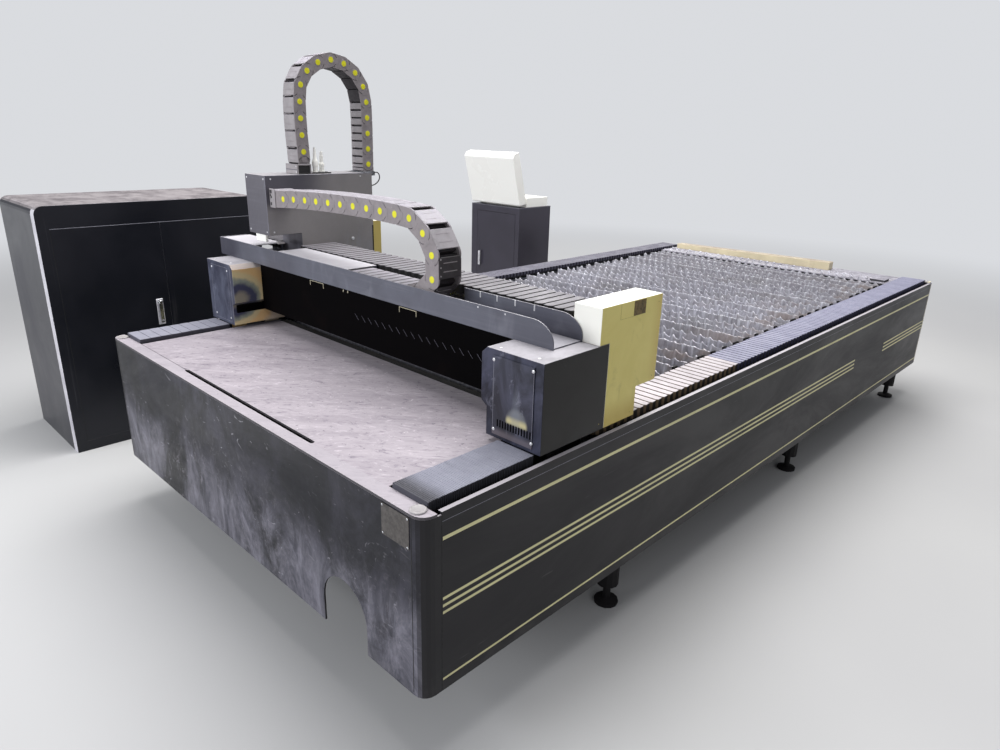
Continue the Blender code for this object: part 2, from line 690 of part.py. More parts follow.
def tray():
    """The open trough on the beam that the cable chain rolls out in."""
    x0, x1 = TRAY_X
    y0, y1 = TRAY_Y
    floor_z = (BOX_Z[1] + GAP, BOX_Z[1] + GAP + TRAY_T)
    node = box("cable_tray", "shield_steel", (x0, x1), (y0 + TRAY_T, y1), floor_z)
    outline = [(y0, floor_z[0]), (y0, TRAY_TOP - TRAY_R)]
    outline += corner((y0 + TRAY_R, TRAY_TOP - TRAY_R), TRAY_R, 180, 90, 7)[1:]
    outline += [(y1, TRAY_TOP), (y1, floor_z[0])]
    front = prism("shield_add", None, "YZ", outline, (x0, x0 + TRAY_T))
    rear = prism("shield_rear_add", None, "YZ", outline, (x1 - TRAY_T, x1))
    stop_y = y1 - TRAY_STOP_IN - TRAY_STOP
    stop_x = x1 - TRAY_STOP * 1.6
    stop = box("tray_stop_add", None, (stop_x, stop_x + TRAY_STOP), (stop_y, stop_y + TRAY_STOP),
               (floor_z[1] - TRAY_T / 2, TRAY_STOP_TOP))
    combine(node, "UNION", front, rear, stop)
    z = (TRAY_TOP + GAP, TRAY_TOP + GAP + LID_PLATE_T)
    box("tray_cover", "dusty_steel", (x0 + GAP, x1 - GAP), LID_PLATE_Y, z)
    near = folds(BEAM_GUIDE_Y[0] + RUN, CAR_Y[0] - GAP, BEAM_FOLDS)
    folded("beam_bellows_near", "Y", near, BEAM_COVER_X, BEAM_COVER_Z)
    rest = folds(CAR_Y[1] + GAP, BEAM_GUIDE_Y[1], BEAM_FAR_FOLDS)
    folded("beam_bellows_far", "Y", rest, BEAM_COVER_X, BEAM_COVER_Z)


def chain(name, path, width, height, links, at=None):
    """A cable chain: links with rounded ends, drawn in where two of them meet.

    The path gives the four corners of the chain at a share of its length.
    """
    shape = ((0.0, CHAIN_WAIST), (0.05, CHAIN_EDGE), (0.13, 0.0), (0.87, 0.0), (0.95, CHAIN_EDGE))
    rings = []
    for i in range(links):
        for share, inset in shape:
            rings.append(path((i + share) / links, height / 2 - inset, width))
    rings.append(path(1.0, height / 2 - CHAIN_WAIST, width))
    return loft(name, "chain_plastic", rings, at=at)


def y_chain():
    high = CHAIN_LOW_Z + 2 * CHAIN_R
    start, end = CHAIN_BEND_Y + GAP, CAR_Y[0] - GAP

    def run(y0, y1, level, camber):
        def at(share, half, width):
            y = y0 + (y1 - y0) * share
            z = level + camber * math.sin(math.pi * share)
            return [(width[0], y, z - half), (width[1], y, z - half),
                    (width[1], y, z + half), (width[0], y, z + half)]
        return at

    def bend(share, half, width):
        a = math.radians(90 + 180 * share)
        points = []
        for x, radius in ((width[0], CHAIN_R - half), (width[1], CHAIN_R - half),
                          (width[1], CHAIN_R + half), (width[0], CHAIN_R + half)):
            y = CHAIN_BEND_Y + radius * math.cos(a)
            points.append((x, y, CHAIN_LOW_Z + CHAIN_R + radius * math.sin(a)))
        return points

    chain("chain_upper", run(start, end, high, CHAIN_CAMBER), CHAIN_X, CHAIN_H, 11)
    chain("chain_bend", bend, CHAIN_X, CHAIN_H, 5,
          at=(CHAIN_X[0], CHAIN_BEND_Y, CHAIN_LOW_Z + CHAIN_R))
    chain("chain_lower", run(start, CHAIN_FIXED_Y, CHAIN_LOW_Z, 0.0), CHAIN_X, CHAIN_H, 6)


def z_chain():
    left, right = Z_CHAIN_X
    radius = (right - left) / 2
    mid = (left + right) / 2
    leg = Z_CHAIN_TOP - Z_CHAIN_FOOT
    right_foot = CAR_Z[1] + Z_CHAIN_LIFT
    right_leg = Z_CHAIN_TOP - right_foot
    arc = math.pi * radius
    total = leg + arc + right_leg

    def at(share, half, width):
        s = share * total
        if s < leg:
            spots = [(left - d, Z_CHAIN_FOOT + s) for d in (half, -half)]
        elif s < leg + arc:
            a = math.pi * (1 - (s - leg) / arc)
            spots = [(mid + (radius + d) * math.cos(a), Z_CHAIN_TOP + (radius + d) * math.sin(a))
                     for d in (half, -half)]
        else:
            z = Z_CHAIN_TOP - (s - leg - arc)
            spots = [(right + d, z) for d in (half, -half)]
        (xo, zo), (xi, zi) = spots
        return [(xo, width[0], zo), (xo, width[1], zo), (xi, width[1], zi), (xi, width[0], zi)]

    chain("z_chain", at, Z_CHAIN_Y, Z_CHAIN_H, 16, at=(left, Z_CHAIN_Y[0], Z_CHAIN_FOOT))
    y = (Z_CHAIN_Y[0] - BRACKET_SIDE, Z_CHAIN_Y[1] + BRACKET_SIDE)
    z = (CAR_Z[1] + GAP, Z_CHAIN_FOOT - GAP)
    half = Z_CHAIN_H / 2 + BRACKET_SIDE
    bracket = box("chain_bracket", "black_plastic", (left - half, left + half), y, z)
    foot = box("bracket_foot_add", None, (left, left + BRACKET_FOOT),
               (y[0] + 0.014, y[1] - 0.014), (z[0], z[0] + SHEET))
    fittings = []
    for name, (x, inward), profile in (
        ("valve_add", VALVE, [(0.0, 0.012), (0.060, 0.012), (0.064, 0.007), (0.120, 0.004)]),
        ("port_add", PORT, [(0.0, 0.014), (0.045, 0.014), (0.048, 0.009), (0.100, 0.009)]),
    ):
        spot = (x, CAR_Y[0] + inward, z[0] + SHEET / 2)
        fittings.append(turned(name, None, spot, "Z", profile, 10))
    combine(bracket, "UNION", foot, *fittings)


def carriage():
    x0, x1 = CAR_X
    z0, z1 = CAR_Z
    low = BOX_Z[1] + GAP + BEAM_GUIDE_T + BEAM_RAIL_H + GAP
    outline = [
        (x0, z0), (CAR_BASE_X, z0), (CAR_BASE_X, low), (CAR_FRONT_X, low),
        (CAR_FRONT_X, CAR_FRONT_LOW), (x1, CAR_FRONT_LOW), (x1, z1), (x0, z1),
    ]
    node = prism("carriage_box", "shield_steel", "XZ", outline, CAR_Y)
    cheeks = []
    for i, y in enumerate((CAR_Y[0], CAR_Y[1] - SHEET)):
        cheeks.append(box("cheek_add_%d" % i, None, (x1 - SHEET, CHEEK_END), (y, y + SHEET),
                          (CHEEK_LOW, z1)))
    combine(node, "UNION", *cheeks)


def head():
    """The lifting slide with its cover and the cutting head under it."""
    y0 = CAR_Y[0] + SHEET + RUN
    y1 = CAR_Y[1] - SHEET - RUN
    back = CAR_X[1] + GAP
    front = back + SLIDE_T
    slide = box("head_slide", "guide_steel", (back, front), (y0, y1), (HEAD_LOW, SLIDE_TOP))
    hanger = box("hanger_add", None, (back + SLIDE_T / 2, Z_CHAIN_X[1] + Z_CHAIN_H / 2),
                 (Z_CHAIN_Y[0] - BRACKET_SIDE, Z_CHAIN_Y[1] + BRACKET_SIDE),
                 (HANGER_LOW, CAR_Z[1] + Z_CHAIN_LIFT - GAP))
    combine(slide, "UNION", hanger)
    cover = (front + GAP, HEAD_END)
    box("head_cover", "cream_paint", cover, (y0, y1), (HEAD_LOW, HEAD_TOP))
    centre = (sum(cover) / 2, sum(CAR_Y) / 2, NOZZLE_Z)
    profile = [
        (0.0, 0.004), (0.004, 0.006), (0.024, 0.014), (0.026, 0.022), (0.050, 0.028),
        (0.060, 0.036), (HEAD_LOW - NOZZLE_Z - GAP, 0.036),
    ]
    turned("cutting_head", "brass", centre, "Z", profile, 16)
    hose()


def hose():
    """The short loop of hose at the open end of the carriage box."""
    line = bpy.data.curves.new("hose_line", "CURVE")
    line.dimensions = "3D"
    line.resolution_u = 5
    line.bevel_depth = HOSE_R
    line.bevel_resolution = 1
    line.use_fill_caps = True
    spline = line.splines.new("BEZIER")
    y = CAR_Y[0] + SHEET / 2
    start = CHEEK_END + GAP
    top, low = HOSE_Z
    mid = (top + low) / 2
    points = [(start, top), (CHEEK_END + HOSE_OUT[0], top + 0.010),
              (CHEEK_END + HOSE_OUT[1], mid + 0.005), (start, low)]
    spline.bezier_points.add(len(points) - 1)
    for spot, (x, z) in zip(spline.bezier_points, points):
        spot.co = Vector((x, y, z)) + SHIFT
        spot.handle_left_type = "AUTO"
        spot.handle_right_type = "AUTO"
    for spot, way in ((spline.bezier_points[0], 1), (spline.bezier_points[-1], -1)):
        spot.handle_left_type = "FREE"
        spot.handle_right_type = "FREE"
        spot.handle_right = spot.co + Vector((way * 0.012, 0.0, 0.0))
        spot.handle_left = spot.co - Vector((way * 0.012, 0.0, 0.0))
    guide = bpy.data.objects.new("hose_guide", line)
    CUTTERS.objects.link(guide)
    guide.hide_render = True
    guide.display_type = "WIRE"
    mesh = bpy.data.meshes.new_from_object(guide)
    bpy.data.objects.remove(guide, do_unlink=True)
    bm = bmesh.new()
    bm.from_mesh(mesh)
    bmesh.ops.remove_doubles(bm, verts=bm.verts, dist=1e-6)
    bmesh.ops.translate(bm, verts=bm.verts, vec=-SHIFT)
    finish(bm, "hose_loop", "black_plastic", (CHEEK_END, y, top), smooth=True)


def console():
    x0, x1 = CON_X
    body = box("console_housing", "black_paint", CON_X, CON_Y, (0.0, CON_TOP))
    y = (CON_DOOR_Y[0] - GAP, CON_DOOR_Y[1] + GAP)
    z = (CON_DOOR_Z[0] - GAP, CON_DOOR_Z[1] + GAP)
    hollow = box("console_cut", None, (x0 - CON_WALL, x1 - CON_WALL), y, z)
    spot = (x1, CON_Y[0] + STOP_IN, STOP_Z)
    well_r = STOP_STEM_R + 2 * GAP
    well = turned("button_cut", None, spot, "X", [(-CON_WALL - SHEET, well_r), (SHEET, well_r)])
    combine(body, "DIFFERENCE", hollow, well)
    start = (x0 + COMPUTER_IN[0], CON_Y[0] + COMPUTER_IN[1], z[0] + GAP)
    box("console_computer", "black_plastic",
        *[(low, low + size) for low, size in zip(start, COMPUTER)])
    stem, button = STOP_STEM_R, STOP_HEAD_R
    profile = [(-0.018, stem), (0.010, stem), (0.017, button), (0.024, button), (0.030, stem)]
    turned("emergency_stop", "red_plastic", spot, "X", profile)
    console_door()
    desk()


def console_door():
    x0 = CON_X[0]
    door = box("console_door", "black_paint", (x0, x0 + DOOR_T), CON_DOOR_Y, CON_DOOR_Z,
               at=(x0, CON_DOOR_Y[0], CON_DOOR_Z[0]))
    mid = CON_DOOR_Y[1] - GRIP_IN - GRIP_SIDE / 2
    x = x0 - GRIP_STAND
    grip = box("grip_add", None, (x - GRIP_SIDE, x),
               (mid - GRIP_SIDE / 2, mid + GRIP_SIDE / 2), GRIP_Z)
    posts = []
    half = POST_SIDE / 2
    for i, post_z in enumerate((GRIP_Z[0] + POST_SIDE, GRIP_Z[1] - POST_SIDE)):
        posts.append(box("post_add_%d" % i, None, (x - half, x0 + half),
                         (mid - half, mid + half), (post_z - half, post_z + half)))
    combine(door, "UNION", grip, *posts)


def desk():
    """The white desk with its keyboard and the barrels that carry the lid."""
    (x0, x1), (y0, y1) = DESK_X, (CON_Y[0] + DESK_SIDE, CON_Y[1] - DESK_SIDE)
    hinges = []
    for i, hinge_y in enumerate((CON_Y[0] + HINGE_END, CON_Y[1] - HINGE_END - HINGE_L)):
        spot = (LID_AXIS[0], hinge_y, LID_AXIS[1])
        hinges.append(turned("barrel_add_%d" % i, None, spot, "Y",
                             [(0.0, HINGE_R), (HINGE_L, HINGE_R)]))
        hinges.append(box("leaf_add_%d" % i, None, (LID_AXIS[0], x0 + LEAF[1] * 2),
                          (hinge_y, hinge_y + HINGE_L), (DESK_TOP - LEAF[0], DESK_TOP - LEAF[1])))
    node = box("console_desk", "white_paint", (x0, x1), (y0, y1), (CON_TOP + GAP, DESK_TOP))
    back, front, near, away = DESK_RIM
    well_x, well_y = (x0 + back, x1 - front), (y0 + near, y1 - away)
    floor = DESK_TOP - DESK_WELL
    well = box("keys_cut", None, well_x, well_y, (floor, DESK_TOP + DESK_WELL))
    keys = box("keys_add", None, (well_x[0] + KEYS_RIM[0], well_x[1] - KEYS_RIM[0]),
               (well_y[0] + KEYS_RIM[1], well_y[1] - KEYS_RIM[1]),
               (floor - SHEET, DESK_TOP - KEYS_DROP))
    combine(node, "DIFFERENCE", well)
    combine(node, "UNION", keys, *hinges)


def lid_point(u, t):
    """A place in the lid: u runs up along it, t from its screen side to its back."""
    s, c = math.sin(LID_LEAN), math.cos(LID_LEAN)
    return (LID_AXIS[0] - u * s - t * c, LID_AXIS[1] + u * c - t * s)


def lid_slab(u, t):
    return [lid_point(u[0], t[0]), lid_point(u[1], t[0]), lid_point(u[1], t[1]), lid_point(u[0], t[1])]


def lid():
    (u0, u1), (t0, t1) = LID_U, LID_T
    hinge = (LID_AXIS[0], sum(CON_Y) / 2, LID_AXIS[1])
    slope, edge = 0.030, 0.010
    outline = [lid_point(*p) for p in (
        (u0, t0), (u1, t0), (u1, t1 - slope), (u1 - slope, t1), (u0 + edge, t1), (u0, t1 - edge))]
    shell = prism("console_lid", "white_paint", "XZ", outline, CON_Y, at=hinge)
    well = lid_slab(SCREEN_U, (-edge, SCREEN_WELL))
    well_y = (CON_Y[0] + SCREEN_SIDE, CON_Y[1] - SCREEN_SIDE)
    combine(shell, "DIFFERENCE", prism("screen_cut", None, "XZ", well, well_y))
    back = SCREEN_WELL - GAP
    pane = lid_slab((SCREEN_U[0] + GAP, SCREEN_U[1] - GAP), (back - SCREEN_T, back))
    prism("screen", "screen_glass", "XZ", pane, (well_y[0] + GAP, well_y[1] - GAP), at=hinge)


def cabinet():
    x0, x1 = CAB_X
    outline = [(x0, 0.0)] + corner((x0 + CAB_R, CAB_TOP - CAB_R), CAB_R, 180, 90, 5)
    outline += corner((x1 - CAB_R, CAB_TOP - CAB_R), CAB_R, 90, 0, 5) + [(x1, 0.0)]
    body = prism("cabinet_housing", "black_paint", "XZ", outline, CAB_Y, smooth=True)
    inner_x = (x0 + CAB_FRAME, x1 - CAB_FRAME)
    inner_z = (CAB_FRAME, CAB_DOOR_TOP)
    inner_y = (CAB_Y[0] - CAB_BACK, CAB_Y[1] - CAB_BACK)
    combine(body, "DIFFERENCE", box("cabinet_cut", None, inner_x, inner_y, inner_z))
    seam = sum(inner_x) / 2
    y = (CAB_Y[0], CAB_Y[0] + DOOR_T)
    z = (inner_z[0] + GAP, inner_z[1] - GAP)
    left = (inner_x[0] + GAP, seam - GAP)
    right = (seam + GAP, inner_x[1] - GAP)
    box("cabinet_door_left", "black_paint", left, y, z, at=(left[0], y[0], z[0]))
    box("cabinet_door_right", "black_paint", right, y, z, at=(right[1], y[0], z[0]))
    pivot = (seam - HANDLE_IN, CAB_Y[0], HANDLE_Z)
    handle = turned("cabinet_handle", "chrome", pivot, "Y",
                    [(-HANDLE_OUT, HANDLE_R), (-GAP, HANDLE_R)], 14)
    lever = box("lever_add", None, (pivot[0] - LEVER_W / 2, pivot[0] + LEVER_W / 2),
                (y[0] - HANDLE_OUT + 0.0015, y[0] - HANDLE_OUT + 0.0015 + LEVER_T),
                (HANDLE_Z + LEVER_Z[0], HANDLE_Z + LEVER_Z[1]))
    combine(handle, "UNION", lever)
    back = inner_y[1] - GAP
    board_x = (inner_x[0] + BOARD_X[0], seam - BOARD_X[1])
    board_z = [inner_z[0] + height for height in BOARD_Z]
    plate = box("mounting_plate", "dusty_steel", board_x, (back - BOARD_T, back), board_z)
    drives = []
    for i, (dx, dz, width, height) in enumerate(DRIVES):
        x, low = board_x[0] + dx, board_z[0] + dz
        drives.append(box("drive_add_%d" % i, None, (x, x + width),
                          (back - BOARD_T - DRIVE_DEPTH, back - BOARD_T / 2), (low, low + height)))
    combine(plate, "UNION", *drives)
    source_x = (seam + SOURCE_X[0], inner_x[1] - SOURCE_X[1])
    source_y = (CAB_Y[0] + SOURCE_Y[0], inner_y[1] - SOURCE_Y[1])
    box("laser_source", "white_paint", source_x, source_y, (z[0], z[0] + SOURCE_H))


def build():
    bed_frame()
    guides()
    skirts()
    end_cover("end_cover_front", True)
    end_cover("end_cover_rear", False)
    top_sheets()
    slats()
    way_covers()
    end_boxes()
    beam()
    tray()
    y_chain()
    carriage()
    z_chain()
    head()
    console()
    lid()
    cabinet()


build()
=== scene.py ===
"""Looks of the flat-bed laser cutter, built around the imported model.

Pieces are written in the machine's own frame, with x = 0 at the discharge end, y = 0 at
the near long side and z = 0 on the floor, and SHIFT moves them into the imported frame.
"""

import math
import random
from itertools import product

import bmesh
import bpy
from mathutils import Matrix, Vector


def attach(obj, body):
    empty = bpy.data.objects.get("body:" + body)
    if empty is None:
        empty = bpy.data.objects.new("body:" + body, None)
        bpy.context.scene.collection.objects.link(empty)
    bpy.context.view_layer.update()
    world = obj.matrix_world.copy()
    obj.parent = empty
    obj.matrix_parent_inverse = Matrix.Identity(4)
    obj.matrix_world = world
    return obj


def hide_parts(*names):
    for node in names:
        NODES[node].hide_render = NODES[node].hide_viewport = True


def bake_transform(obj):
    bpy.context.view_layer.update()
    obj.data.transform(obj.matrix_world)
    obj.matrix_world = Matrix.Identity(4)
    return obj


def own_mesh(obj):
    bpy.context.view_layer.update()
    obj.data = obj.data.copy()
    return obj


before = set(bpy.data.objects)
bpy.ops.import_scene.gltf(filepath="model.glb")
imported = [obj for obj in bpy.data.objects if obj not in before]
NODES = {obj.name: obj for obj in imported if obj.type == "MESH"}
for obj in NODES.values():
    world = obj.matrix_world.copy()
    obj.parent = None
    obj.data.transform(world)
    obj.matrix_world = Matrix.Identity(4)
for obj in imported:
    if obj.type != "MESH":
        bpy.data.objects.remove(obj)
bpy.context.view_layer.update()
SHIFT = Vector((-2.395, -1.875, 0.0))
BED_L, BED_W, BED_TOP = 4.85, 2.3, 0.86
CARRIAGE_NEAR = 1.849  # the carriage's near side, at rest
AHEAD, TO_NEAR, TO_FAR, UP = (-1, 0, 0), (0, -1, 0), (0, 1, 0), (0, 0, 1)


def rgb(code):
    """A colour written as 0xRRGGBB, as it looks on a screen, in linear light."""
    out = []
    for place in (16, 8, 0):
        c = (code >> place & 255) / 255
        out.append(c / 12.92 if c <= 0.04045 else ((c + 0.055) / 1.055) ** 2.4)
    return (*out, 1.0)


def times(colour, factor):
    """A colour made darker or lighter."""
    return tuple(min(c * factor, 1) for c in rgb(colour)[:3]) + (1,)


# Materials


def add_node(tree, kind, sockets, out=0, **settings):
    """A new shader node with its settings made and its sockets set or linked."""
    n = tree.nodes.new("ShaderNode" + kind)
    for key, value in settings.items():
        setattr(n, key, value)
    for key, value in sockets.items():
        if isinstance(value, bpy.types.NodeSocket):
            tree.links.new(value, n.inputs[key])
        else:
            n.inputs[key].default_value = value
    return n.outputs[out]


class Mat:
    """A procedural material: object coordinates, noises and masks into one Principled shader.
    tone holds its colour while it is built up."""

    def __init__(self, name, rough, metal=0.0, spec=0.5):
        self.mat = bpy.data.materials.new(name)
        self.mat.use_nodes = True
        self.tree = self.mat.node_tree
        self.shader = self.tree.nodes["Principled BSDF"]
        for key, value in (("Roughness", rough), ("Metallic", metal), ("Specular IOR Level", spec)):
            self.shader.inputs[key].default_value = value
        coords = self.tree.nodes.new("ShaderNodeTexCoord").outputs
        self.pos, self.normal = coords["Object"], coords["Normal"]

    def node(self, kind, sockets, out=0, **settings):
        return add_node(self.tree, kind, sockets, out, **settings)

    def math(self, op, a, b=0.0, clamp=False):
        return self.node("Math", {0: a, 1: b}, operation=op, use_clamp=clamp)

    def times(self, a, b):
        return self.math("MULTIPLY", a, b)

    def most(self, a, b):
        return self.math("MAXIMUM", a, b)

    def noise(self, scale, detail, rough, stretch=(1, 1, 1), offset=(0, 0, 0), warp=0.0, turn=0.0):
        place = self.pos
        if turn:
            place = self.node("Mapping", {"Vector": place, "Rotation": (0, 0, math.radians(turn))})
        place = self.node("Mapping", {"Vector": place, "Scale": stretch, "Location": offset})
        return self.node("TexNoise", {"Vector": place, "Scale": scale, "Detail": detail,
                                      "Roughness": rough, "Distortion": warp})

    def ramp(self, value, low, high, out_low=0.0, out_high=1.0):
        return self.node("MapRange", {"Value": value, "From Min": low, "From Max": high,
                                      "To Min": out_low, "To Max": out_high},
                         interpolation_type="SMOOTHSTEP")

    def axis(self, which, source=None):
        return self.node("SeparateXYZ", {0: source or self.pos}, "XYZ".index(which))

    def look(self, which, low, high, *out):
        """From 0 to 1 as the surface turns along that axis of the piece."""
        return self.ramp(self.axis(which, self.normal), low, high, *out)

    def along(self, which, low, high, *out):
        """From 0 to 1 between two places on an axis of the machine."""
        move = SHIFT["XYZ".index(which)]
        return self.ramp(self.axis(which), low + move, high + move, *out)

    def away(self, which, middle, reach=1.0):
        """Square of the distance from a place on an axis, measured in reaches."""
        off = self.math("SUBTRACT", self.axis(which), middle + SHIFT["XYZ".index(which)])
        off = self.math("DIVIDE", off, reach)
        return self.times(off, off)

    def mix(self, share, a, b):
        a, b = (rgb(c) if isinstance(c, int) else c for c in (a, b))
        return self.node("Mix", {0: share, 6: a, 7: b}, 2, data_type="RGBA")

    def blend(self, value, low, high, a, b):
        """From one colour to the other as value goes from low to high."""
        return self.mix(self.ramp(value, low, high), a, b)

    def lay(self, share, colour):
        """Covers the tone so far with a colour, by a share from 0 to 1."""
        self.tone = self.mix(share, self.tone, colour)

    def over(self, value, low, high, most, colour):
        """Lays a colour on where value goes from low to high, at most by the share given."""
        self.lay(self.ramp(value, low, high, 0, most), colour)

    def done(self, rough=None, relief=None, strength=0.2, depth=0.001):
        """Joins tone, roughness and fine relief to the shader."""
        if relief:
            relief = self.node("Bump", {"Height": relief, "Strength": strength, "Distance": depth})
        for key, value in (("Base Color", self.tone), ("Roughness", rough), ("Normal", relief)):
            if value:
                self.tree.links.new(value, self.shader.inputs[key])
        return self.mat


def coated(name, base, rough, mottle, dust=None, amount=0.6, grime=None, grain=0.0, spec=0.5):
    """Paint or sheet with soft mottling, grime, and dust on what faces up."""
    m = Mat(name, rough, 0.0, spec)
    large = m.noise(2.2, 6, 0.62, warp=0.4)
    light = times(base, 1 + mottle * 1.6)
    m.tone = m.blend(large, 0.3, 0.7, times(base, 1 - mottle * 1.6), light)
    m.over(m.noise(38, 4, 0.7), 0.25, 0.8, mottle, light)
    gloss = m.ramp(large, 0.25, 0.75, rough - 0.07, rough + 0.09)
    if grime:
        patch = m.ramp(m.noise(3.1, 7, 0.66, offset=(3, 1, 5)), 0.52, 0.7)
        m.lay(m.times(patch, 0.55), grime)
    if dust:
        settle = m.ramp(m.noise(7.5, 8, 0.68, offset=(1, 9, 2)), 0.22, 0.72, 0.35, 1.0)
        cover = m.times(m.times(m.look("Z", 0.45, 0.9), settle), amount)
        m.lay(cover, dust)
        gloss = m.math("ADD", gloss, m.times(cover, 0.35), True)
    return m.done(gloss, m.noise(210, 3, 0.6) if grain else None, grain, 0.0008)


def skirt_paint():
    """Matt charcoal sheet: smooth on the long sides, clouded and scratched on the end."""
    m = Mat("skirt_paint", 0.42, 0.0, 0.3)
    clouds = m.noise(2.4, 9, 0.72, (1, 1, 0.7), (0, 5, 8), 0.9)
    runs = m.noise(6.5, 8, 0.74, (1, 1, 0.42), (0, 2, 4), 1.3)
    m.tone = m.blend(clouds, 0.36, 0.66, 0x07080E, 0x3C3B47)
    m.over(runs, 0.5, 0.7, 0.35, 0x504F58)
    m.over(runs, 0.42, 0.3, 0.5, 0x0D0D11)
    smudge = m.ramp(m.noise(19, 7, 0.74, offset=(3, 3, 1), warp=1.5), 0.52, 0.7)
    m.lay(m.times(smudge, m.along("Z", 0.74, 0.45, 0.15, 0.75)), 0x747078)
    marks = m.noise(15, 2, 0.5, (1, 0.6, 1.4), (2, 9, 6), 3.0)
    m.over(marks, 0.69, 0.73, 0.6, 0x9E9CA4)
    bright = m.times(m.along("Z", 0.62, 0.42), m.ramp(clouds, 0.34, 0.58, 0, 0.75))
    m.lay(bright, m.blend(runs, 0.34, 0.66, 0x3E3E48, 0x888692))
    near = m.times(m.along("Y", 1.1, 0.55), m.along("Z", 0.5, 0.68))
    m.lay(m.times(near, m.ramp(clouds, 0.7, 0.4, 0.4, 0.9)), 0x0B0C14)
    upper = m.times(m.along("Y", 1.55, 1.72), m.along("Z", 0.52, 0.7))
    m.lay(m.times(upper, 0.7), 0x0E0F15)
    end = m.tone
    wiped = m.noise(2.6, 7, 0.7, (0.35, 0.35, 1.2), (4, 0, 2), 0.6)
    large = m.noise(1.1, 6, 0.6, warp=0.5)
    m.tone = m.blend(large, 0.3, 0.72, 0x1B1A1D, 0x262427)
    m.over(wiped, 0.52, 0.78, 0.25, 0x363438)
    m.lay(m.look("X", -0.8, -0.98), end)
    lines = m.noise(9, 2, 0.5, (0.5, 0.5, 7), (2, 5, 1), 0.7)
    m.over(lines, 0.74, 0.77, 0.2, 0x767476)
    splash = m.ramp(m.noise(5.5, 8, 0.7), 0.4, 0.7, 0, 0.35)
    m.lay(m.times(m.along("Z", 0.33, 0.26), splash), 0x504E50)
    m.lay(m.times(m.look("Z", 0.4, 0.9), 0.9), 0xB0ABB2)
    return m.done(m.ramp(wiped, 0.3, 0.75, 0.36, 0.58), m.noise(160, 3, 0.6), 0.12, 0.0006)


def dusty_plate():
    """The end plates: pinkish grey dust over steel, swept in streaks across the machine."""
    m = Mat("dusty_plate", 0.6, 0.0, 0.4)
    swept = m.noise(3.4, 9, 0.7, (0.4, 1.3, 1), warp=1.1, turn=45)
    streaks = m.noise(9, 8, 0.72, (0.3, 1.3, 1), (5, 2, 0), 0.8, 45)
    fine = m.noise(22, 7, 0.72, (0.5, 1.2, 1), (9, 2, 0), 2.4, 50)
    bits = m.noise(60, 3, 0.6, offset=(0, 8, 0))
    m.tone = m.blend(swept, 0.32, 0.7, 0xA098A1, 0xB4ACB4)
    m.over(streaks, 0.52, 0.7, 0.45, 0xC2BAC2)
    m.over(streaks, 0.46, 0.3, 0.3, 0x7C7480)
    m.over(fine, 0.55, 0.68, 0.5, 0xDED6DE)
    m.over(fine, 0.47, 0.33, 0.7, 0x706876)
    m.over(bits, 0.68, 0.74, 0.8, 0xDED8DC)
    m.over(bits, 0.33, 0.28, 0.65, 0x524C56)
    crust = m.blend(fine, 0.35, 0.65, 0x605E68, 0xB0AEBA)
    m.lay(m.along("X", 4.44, 4.48, 0, 0.9), crust)
    m.lay(m.along("X", 0.054, 0.05, 0, 0.6), 0xAEA8B0)
    seam = m.times(m.along("X", 0.0535, 0.0545), m.along("X", 0.0572, 0.0562))
    m.lay(m.times(seam, m.along("Y", 1.58, 1.6, 0, 0.9)), 0x28262A)
    outer = m.most(m.along("X", 4.2, 4.19), m.along("X", 4.52, 4.53))
    m.lay(m.times(m.times(m.look("Z", 0.8, 0.3), outer), 0.85), 0x222124)
    return m.done(m.ramp(swept, 0.3, 0.7, 0.45, 0.7), m.noise(120, 6, 0.7), 0.35, 0.002)


def slag_steel(name, dark, light, bright):
    """Slats under burnt slag: silver lilac, pinkish towards the near side, with painted shade deep
    in the pit and under the beam.
    """
    m = Mat(name, 0.5, 0.1)
    lumps = m.noise(34, 8, 0.72, (1, 1, 0.5), warp=0.6)
    runs = m.noise(64, 4, 0.6, (1, 1, 0.14), (3, 3, 0))
    m.tone = m.blend(lumps, 0.32, 0.66, dark, light)
    m.over(runs, 0.55, 0.72, 0.5, light)
    m.over(runs, 0.44, 0.32, 0.4, 0x686772)
    m.over(m.noise(2.6, 5, 0.6, offset=(9, 1, 0)), 0.5, 0.68, 0.4, 0x8E8C8A)
    pink = m.ramp(m.noise(5.2, 4, 0.6, offset=(4, 2, 9)), 0.46, 0.62)
    m.lay(m.times(pink, m.along("Y", 0.62, 0.3, 0.12, 0.7)), 0xB0A09A)
    m.lay(m.along("X", 1.9, 1.0, 0, 0.45), light)
    m.lay(m.along("X", 2.6, 4.4, 0, 0.4), 0x686466)
    # Painted shade: darker deep in the pit, and on the first slat under the beam, where the beam's
    # shadow falls.
    depth = m.most(m.along("Z", 0.815, 0.735, 0, 0.9), m.along("X", 0.92, 0.87, 0, 0.85))
    m.lay(depth, 0x2E2D34)
    # The tooth tips take white slag, which is also a painted highlight.
    m.lay(m.times(m.along("Z", 0.852, 0.864), m.ramp(lumps, 0.4, 0.6, 0, 0.9)), bright)
    return m.done(m.ramp(lumps, 0.3, 0.7, 0.36, 0.66), lumps, 0.5, 0.004)


